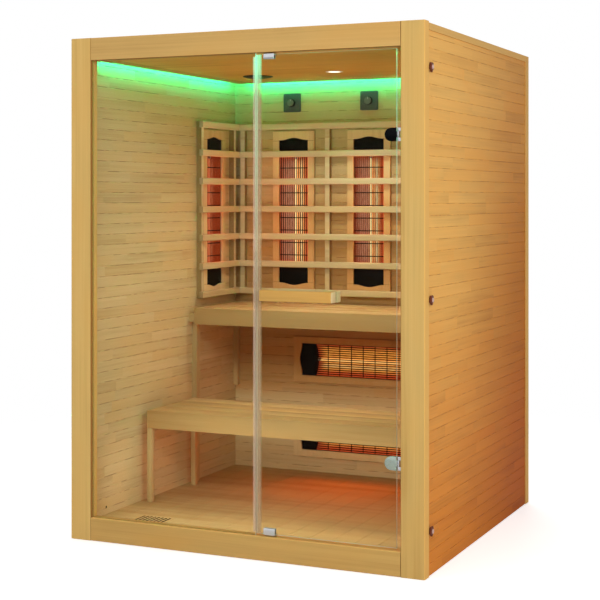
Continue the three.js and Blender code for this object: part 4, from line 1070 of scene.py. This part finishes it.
class SAUNA_OT_door_fittings(bpy.types.Operator):
    """Ease and finish the hinges, the catch clips and the handles"""

    bl_idname = "sauna.door_fittings"
    bl_label = "Door fittings"

    def hinge_finish(self, name, plate, chrome):
        """Plated clamp with a bright knuckle on the hinge's axis."""
        finish = Finish(name)
        x, y, z = finish.place()
        hinge = next(joint for joint in frame["joints"] if joint["name"] == "door_swing")
        axis_x, axis_y, _ = hinge["pos_m"]
        away = finish.sum("POWER", (x - axis_x) * (x - axis_x) + (y - axis_y) * (y - axis_y), 0.5)
        barrel = away < 0.0078
        smear = finish.noise(finish.point(x, y, z), scale=60, detail=3)
        plate, chrome = tuple(plate), tuple(chrome)
        shade = finish.blend(smear * 0.5, plate, scaled(plate, 0.8))
        return finish.done(
            finish.shader(
                base_color=finish.blend(barrel, shade, chrome),
                metallic=1.0,
                roughness=0.2 + smear * 0.12,
            )
        )

    def bar_finish(self, name, colour, end_colour, seed):
        """A timber bar with paler end faces."""
        finish = Finish(name)
        shade, height = grain(finish, finish.place(), tuple(colour), "x", "z", seed)
        ends = abs(finish.facing()[0]) > 0.6
        return wood_surface(finish, finish.blend(ends, shade, tuple(end_colour)), height)

    def execute(self, context):
        fittings = context.scene.sauna_fittings
        chrome = metal("chrome", fittings.chrome_colour, 0.14)
        upper = self.hinge_finish("upper_hinge", fittings.dark_metal, fittings.chrome_colour)
        lower = self.hinge_finish("lower_hinge", fittings.satin_colour, fittings.chrome_colour)
        for level, plate in (("upper", upper), ("lower", lower)):
            softened(f"{level}_hinge_clamp", 0.0008, (plate,), "door")
            softened(f"{level}_hinge_bracket", 0.0006, (chrome,), "cabin")
        softened("top_catch_clip", 0.0008, (chrome,), "door")
        softened("bottom_catch_clip", 0.0008, (chrome,), "door")
        timber_set = context.scene.sauna_timber
        outer = self.bar_finish("outer_handle_timber", timber_set.handle_colour, timber_set.end_colour, 103)
        # Painted light: the inner bar takes the pale end colour all over, lifting it out of the shade it sits in.
        inner = self.bar_finish("inner_handle_timber", timber_set.end_colour, timber_set.end_colour, 107)
        softened("door_outer_handle", 0.003, (outer,), "door")
        softened("door_inner_handle", 0.003, (inner,), "door")
        return {"FINISHED"}


class SAUNA_OT_star_knobs(bpy.types.Operator):
    """Make the star knobs on the side walls"""

    bl_idname = "sauna.star_knobs"
    bl_label = "Star knobs"

    def star(self):
        """A five-lobed knob with a crowned edge, and a cap in its middle."""
        bm = bmesh.new()
        sides = 60
        stations = ((0.0050, 0.90), (0.0060, 0.98), (0.0085, 1.0), (0.0110, 0.97), (0.0127, 0.86), (0.0130, 0.6))
        rings = []
        for height, share in stations:
            ring = []
            for i in range(sides):
                angle = math.tau * i / sides
                radius = (0.016 + 0.003 * math.cos(5 * angle)) * share
                ring.append((radius * math.cos(angle), radius * math.sin(angle), height))
            rings.append(ring)
        loft(bm, rings)
        turn(bm, [(0.008, 0.0003), (0.008, 0.006)], 32)
        cap = [(0.008, 0.0127), (0.008, 0.0148), (0.0068, 0.0158), (0.0035, 0.016)]
        turn(bm, cap, 32, material=1)
        return smooth_mesh("star_knob", bm)

    def execute(self, context):
        fittings = context.scene.sauna_fittings
        body = plastic("star_knob", fittings.star_colour, 0.46, sheen=0.25)
        # Painted highlight: the cap's pale colour stands for the highlight on the knob's centre.
        cap = plastic("star_cap", fittings.star_cap_highlight_colour, 0.4)
        mesh = self.star()
        joints = {joint["name"]: joint for joint in frame["joints"]}
        for side in SIDES:
            for level in STAR_LEVELS:
                name = f"{side}_{level}_star"
                origin = Vector(joints[f"{name}_turn"]["pos_m"])
                turn_by = Euler((0, math.pi / 2 if side == "right" else -math.pi / 2, 0))
                place = Matrix.Translation(origin) @ turn_by.to_matrix().to_4x4()
                node = f"{name}_knob"
                add_piece(f"{name}_grip", mesh, (body, cap), name, (node,), place)
        return {"FINISHED"}


class SAUNA_OT_dimmers(bpy.types.Operator):
    """Make the dimmers on the back wall"""

    bl_idname = "sauna.dimmers"
    bl_label = "Dimmers"

    def plate(self, size, thickness):
        """A square plate with round corners and a soft front edge."""
        bm = bmesh.new()

        def outline(half, corner, depth):
            points = []
            for quarter in range(4):
                base = math.pi / 2 * quarter
                middle = half - corner
                cx = middle if quarter in (0, 3) else -middle
                cz = middle if quarter in (0, 1) else -middle
                for i in range(9):
                    angle = base + math.pi / 2 * i / 8
                    points.append((cx + corner * math.cos(angle), depth, cz + corner * math.sin(angle)))
            return points

        half = size / 2
        stations = (
            (half, 0.006, -0.0003),
            (half, 0.006, 0.0022 - thickness),
            (half - 0.0007, 0.0055, 0.0008 - thickness),
            (half - 0.0022, 0.0045, -thickness - 0.0003),
            (half - 0.0075, 0.003, -thickness - 0.0003),
            (half - 0.0082, 0.003, 0.0006 - thickness),
        )
        loft(bm, [outline(*station) for station in stations])
        return smooth_mesh("dimmer_plate", bm)

    def knob(self):
        """A round knob with a skirt, a dished face and a pointer."""
        bm = bmesh.new()
        profile = [
            (0.019, 0.0005),
            (0.019, 0.0045),
            (0.0183, 0.0053),
            (0.0172, 0.0135),
            (0.0165, 0.0147),
            (0.0150, 0.0150),
            (0.0070, 0.0143),
        ]
        turn(bm, profile, 48)
        bar = [(-0.0009, 0.007), (0.0009, 0.007), (0.0009, 0.0155), (-0.0009, 0.0155)]
        loft(bm, [[(x, y, z) for x, y in bar] for z in (0.0140, 0.0150)], material=1)
        return smooth_mesh("dimmer_knob", bm)

    def knob_finish(self, fittings):
        """Satin face, with the skirt and sides painted near black as painted shade."""
        finish = Finish("dimmer_knob")
        # Painted shade: everything but the front face is near black.
        face = finish.ease(finish.facing()[2], 0.55, 0.9)
        cloud = finish.noise(finish.point(*finish.place()), scale=90, detail=2)
        colour = tuple(fittings.knob_colour)
        return finish.done(
            finish.shader(
                base_color=finish.blend(face, scaled(colour, 0.05), colour),
                roughness=0.28 + cloud * 0.16,
            )
        )

    def execute(self, context):
        fittings = context.scene.sauna_fittings
        plate_plastic = plastic("dimmer_plate", fittings.plate_colour, 0.4)
        knob_plastic = self.knob_finish(fittings)
        pointer = plastic("dimmer_pointer", tint(232, 232, 228), 0.4)
        plate, knob = self.plate(0.086, 0.009), self.knob()
        for name in DIMMERS:
            low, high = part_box(f"{name}_dimmer_plate")
            middle = (low + high) / 2
            wall = Matrix.Translation((middle.x, high.y + 0.0003, middle.z))
            node = f"{name}_dimmer_plate"
            add_piece(f"{name}_dimmer_base", plate, (plate_plastic,), "cabin", (node,), wall)
            face = Matrix.Translation((middle.x, low.y, middle.z)) @ Matrix.Rotation(math.pi / 2, 4, "X")
            node = f"{name}_dimmer_knob"
            materials = (knob_plastic, pointer)
            add_piece(f"{name}_dimmer_grip", knob, materials, f"{name}_dimmer", (node,), face)
        return {"FINISHED"}


class SAUNA_OT_ceiling_fittings(bpy.types.Operator):
    """Make the speaker and the lamp, and finish the light strip and the control unit"""

    bl_idname = "sauna.ceiling_fittings"
    bl_label = "Ceiling fittings"

    def hung(self, node, profile, materials, slot, breaks, sides=56):
        """A round fitting under the ceiling, from its rim down, in one or more materials."""
        low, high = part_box(node)
        bm = bmesh.new()
        faces = turn(bm, profile, sides)
        for index, face in enumerate(faces[: -2]):
            face.material_index = sum(index // sides >= step for step in breaks)
        faces[-1].material_index = len(breaks)
        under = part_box("ceiling_panel")[0].z
        place = Matrix.Translation(((low.x + high.x) / 2, (low.y + high.y) / 2, under))
        mesh = smooth_mesh(node, bm)
        return add_piece(f"{node}_fitting", mesh, materials, "cabin", (node,), place)

    def grille(self, colour):
        """Pierced black steel: the holes are painted near black as painted shade, and bumped."""
        finish = Finish("speaker_grille")
        x, y, z = finish.place()
        sockets = {"Vector": finish.point(x, y, 0.0), "Scale": 240.0, "Randomness": 0.0}
        cell = finish.node("ShaderNodeTexVoronoi", {"feature": "F1"}, sockets)
        hole = 1 - finish.ease(cell, 0.26, 0.36)
        colour = tuple(colour)
        return finish.done(
            finish.shader(
                base_color=finish.blend(hole, scaled(colour, 1.5), (0.001, 0.001, 0.001, 1)),
                roughness=0.4 + hole * 0.4,
                normal=finish.bump(1 - hole, 0.0008),
            )
        )

    def glow(self, name, colour, strength, scale):
        """A diffuser lit from behind."""
        finish = Finish(name)
        cloud = finish.noise(finish.point(*finish.place()), scale=scale, detail=2)
        return finish.done(
            finish.shader(
                base_color=scaled(colour, 0.8),
                roughness=0.4,
                emission_color=finish.blend(cloud * 0.5, colour, scaled(colour, 0.86)),
                emission_strength=strength,
            )
        )

    def execute(self, context):
        fittings = context.scene.sauna_fittings
        rim = plastic("speaker_rim", fittings.speaker_colour, 0.45)
        speaker = [
            (0.050, 0.034), (0.050, 0.0), (0.0655, -0.0003), (0.066, -0.0016), (0.0652, -0.0034),
            (0.0625, -0.0042), (0.0595, -0.0036), (0.0585, -0.0042),
            (0.050, -0.0066), (0.038, -0.0086), (0.024, -0.0096), (0.008, -0.0100),
        ]
        grille = self.grille(fittings.speaker_colour)
        self.hung("ceiling_speaker", speaker, (rim, grille), "black_plastic", (7,))
        trim = plastic("lamp_trim", fittings.lamp_colour, 0.3)
        lens = self.glow("lamp_lens", (1.0, 0.97, 0.9, 1.0), 3.0, 400)
        lamp = [
            (0.030, 0.028), (0.030, 0.0), (0.0372, -0.0003), (0.0375, -0.0010), (0.0366, -0.0022),
            (0.0320, -0.0030), (0.0296, -0.0029), (0.0276, -0.0010), (0.0150, -0.0016), (0.004, -0.0018),
        ]
        self.hung("ceiling_lamp", lamp, (trim, lens), "white_plastic", (7,))
        cove = tuple(context.scene.sauna_lights.cove_colour)
        dress(self.glow("cove_light", cove, 4.0, 160), "cove_led_strip")
        dress(plastic("control_case", fittings.speaker_colour, 0.55), "control_unit")
        return {"FINISHED"}


class SAUNA_OT_stage(bpy.types.Operator):
    """Set the camera, the lights and the studio floor"""

    bl_idname = "sauna.stage"
    bl_label = "Stage"

    def area(self, name, place, size, power, colour=(1, 1, 1), spread=math.pi):
        """A soft lamp that isn't seen itself."""
        lamp = bpy.data.lights.new(name, "AREA")
        lamp.shape = "RECTANGLE"
        lamp.size, lamp.size_y = size
        lamp.energy = power
        lamp.spread = spread
        lamp.color = tuple(colour)[:3]
        holder = bpy.data.objects.new(name, lamp)
        bpy.context.scene.collection.objects.link(holder)
        holder.matrix_world = place
        holder.visible_camera = False
        holder.visible_glossy = False
        return holder

    def aimed(self, origin, target):
        """A place at one point, turned to another."""
        origin, target = Vector(origin), Vector(target)
        turn_by = (target - origin).to_track_quat("-Z", "Y")
        return Matrix.Translation(origin) @ turn_by.to_matrix().to_4x4()

    def camera(self, stage):
        lens = bpy.data.cameras.new("camera")
        lens.sensor_fit = "HORIZONTAL"
        lens.sensor_width = 36.0
        lens.lens = stage.camera_lens
        lens.shift_y = stage.camera_rise
        holder = bpy.data.objects.new("camera", lens)
        bpy.context.scene.collection.objects.link(holder)
        holder.location = stage.camera_place
        holder.rotation_euler = (math.pi / 2, 0, stage.camera_yaw)
        bpy.context.scene.camera = holder

    def studio_floor(self, stage):
        """A pale floor that reads as the white ground and keeps the shadow."""
        bm = bmesh.new()
        reach = 30.0
        corners = [(-reach, -reach), (reach, -reach), (reach, reach), (-reach, reach)]
        bm.faces.new([bm.verts.new((x, y, -0.0015)) for x, y in corners])
        mesh = bpy.data.meshes.new("studio_floor")
        bm.to_mesh(mesh)
        bm.free()
        finish = Finish("studio_floor")
        seen = finish.node("ShaderNodeLightPath", output="Is Camera Ray")
        cloud = finish.noise(finish.point(*finish.place()), scale=3, detail=2)
        colour = tuple(stage.floor_colour)
        ground = finish.shader(base_color=finish.blend(cloud * 0.2, colour, scaled(colour, 0.98)), roughness=0.8)
        lit = finish.node("ShaderNodeEmission", None, {"Color": (1, 1, 1, 1), "Strength": 0.5})
        both = finish.node("ShaderNodeAddShader", None, {0: ground, 1: lit})
        x, y, _ = finish.place()
        away = finish.sum("POWER", x * x + y * y, 0.5)
        clear = finish.node("ShaderNodeBsdfTransparent", None, {"Color": (1, 1, 1, 1)})
        near = finish.node("ShaderNodeMixShader", None, {0: finish.ease(away, 1.5, 3.2), 1: both, 2: clear})
        mesh.materials.append(finish.done(finish.node("ShaderNodeMixShader", None, {0: seen, 1: ground, 2: near})))
        piece = bpy.data.objects.new("studio_floor", mesh)
        bpy.context.scene.collection.objects.link(piece)

    def world(self, ambient):
        """White where it is seen, softer as a light."""
        world = bpy.data.worlds.new("studio")
        world.use_nodes = True
        bpy.context.scene.world = world
        finish = Finish("studio", world.node_tree)
        rays = [
            finish.node("ShaderNodeLightPath", output=f"Is {kind} Ray")
            for kind in ("Camera", "Glossy", "Transmission")
        ]
        seen = finish.sum("MAXIMUM", finish.sum("MAXIMUM", rays[0], rays[1]), rays[2])
        strength = seen + (1 - seen) * ambient
        back = finish.node("ShaderNodeBackground", None, {"Color": (1, 1, 1, 1), "Strength": strength})
        finish.node("ShaderNodeOutputWorld", None, {"Surface": back})

    def cove(self, lights):
        """The green runs in the cove along three walls."""
        low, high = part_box("cove_led_strip")
        middle_y = (low.y + high.y) / 2
        height = (low.z + high.z) / 2
        length_y = high.y - low.y - 0.02
        length_x = high.x - low.x - 0.02
        out = 0.0025
        runs = (
            ("left_cove", (low.x - out, middle_y, height), (low.x - 1, middle_y, height - 1.1), length_y),
            ("right_cove", (high.x + out, middle_y, height), (high.x + 1, middle_y, height - 1.1), length_y),
            ("back_cove", (0, high.y + out, height), (0, high.y + 1, height - 1.1), length_x),
        )
        for name, origin, target, length in runs:
            self.area(name, self.aimed(origin, target), (length, 0.010), lights.cove_power, lights.cove_colour)

    def heat(self, lights):
        """Warm light from the front of each heater."""
        turn_by = Matrix.Rotation(-math.pi / 2, 4, "X")
        reach = {
            LOW_HEATERS[0]: (lights.bench_power, math.pi),
            LOW_HEATERS[1]: (lights.low_power, math.radians(112)),
        }
        for name in SIDE_HEATERS + BACK_HEATERS + LOW_HEATERS:
            place = bpy.data.objects[f"{name}_guard"].matrix_world
            front = place @ Matrix.Translation((0, -0.0095, 0)) @ turn_by
            power, spread = reach.get(name, (lights.heat_power, math.pi))
            self.area(f"{name}_heat", front, (0.12, 0.5), power, lights.heat_colour, spread)

    def execute(self, context):
        lights = context.scene.sauna_lights
        stage = context.scene.sauna_stage
        context.scene.view_settings.view_transform = "Standard"
        self.camera(stage)
        self.studio_floor(stage)
        self.world(lights.ambient)
        middle = (0, 0, 0.95)
        self.area("key", self.aimed((-1.4, -4.6, 4.4), middle), (3.0, 3.0), lights.key_power)
        self.area("front", self.aimed((1.3, -5.0, 3.4), (0, 0, 0.8)), (2.4, 1.0), lights.front_power)
        self.area("side", self.aimed((3.8, -2.4, 2.2), (0.7, -0.3, 1.1)), (1.8, 1.8), lights.side_power)
        room = self.aimed((0, -0.598, 1.42), (0, 0.6, 1.12))
        self.area("room", room, (1.15, 0.6), lights.room_power, (1.0, 0.97, 0.92), math.radians(100))
        wall = self.aimed((0.62, -0.25, 1.12), (-0.7, -0.25, 1.02))
        self.area("wall", wall, (0.6, 0.9), lights.wall_power, (1.0, 0.97, 0.92), math.radians(110))
        foot = self.aimed((0, -0.6, 0.21), (0, 0.6, 0.08))
        self.area("foot", foot, (1.15, 0.18), lights.foot_power, (1.0, 0.97, 0.92), math.radians(130))
        self.area("rear", self.aimed((-1.5, 4.6, 3.4), middle), (3.0, 3.0), lights.rear_power)
        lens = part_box("ceiling_lamp")
        under = Vector(((lens[0].x + lens[1].x) / 2, (lens[0].y + lens[1].y) / 2, lens[0].z - 0.004))
        down = self.aimed(under, under - Vector((0, 0, 1)))
        self.area("lamp", down, (0.05, 0.05), lights.lamp_power, (1.0, 0.94, 0.84), math.radians(115))
        self.cove(lights)
        self.heat(lights)
        return {"FINISHED"}


OPERATORS = (
    SAUNA_OT_shell,
    SAUNA_OT_front_frame,
    SAUNA_OT_glass,
    SAUNA_OT_benches,
    SAUNA_OT_backrests,
    SAUNA_OT_heaters,
    SAUNA_OT_door_fittings,
    SAUNA_OT_star_knobs,
    SAUNA_OT_dimmers,
    SAUNA_OT_ceiling_fittings,
    SAUNA_OT_stage,
)


class SAUNA_PT_panel(bpy.types.Panel):
    """Steps and settings of the sauna cabin"""

    bl_idname = "SAUNA_PT_panel"
    bl_label = "Infrared sauna cabin"
    bl_space_type = "VIEW_3D"
    bl_region_type = "UI"
    bl_category = "Sauna"

    def draw(self, context):
        for step in OPERATORS:
            self.layout.operator(step.bl_idname)
        for name, group in SETTINGS.items():
            box = self.layout.box()
            box.label(text=group.__doc__)
            for key in group.__annotations__:
                box.prop(getattr(context.scene, name), key)


def register():
    for group in SETTINGS.values():
        bpy.utils.register_class(group)
    for name, group in SETTINGS.items():
        setattr(bpy.types.Scene, name, PointerProperty(type=group))
    for step in OPERATORS:
        bpy.utils.register_class(step)
    bpy.utils.register_class(SAUNA_PT_panel)


def unregister():
    bpy.utils.unregister_class(SAUNA_PT_panel)
    for step in reversed(OPERATORS):
        bpy.utils.unregister_class(step)
    for name in SETTINGS:
        delattr(bpy.types.Scene, name)
    for group in reversed(SETTINGS.values()):
        bpy.utils.unregister_class(group)


def main():
    register()
    for step in OPERATORS:
        family, name = step.bl_idname.split(".")
        getattr(getattr(bpy.ops, family), name)()


if __name__ == "__main__":
    main()
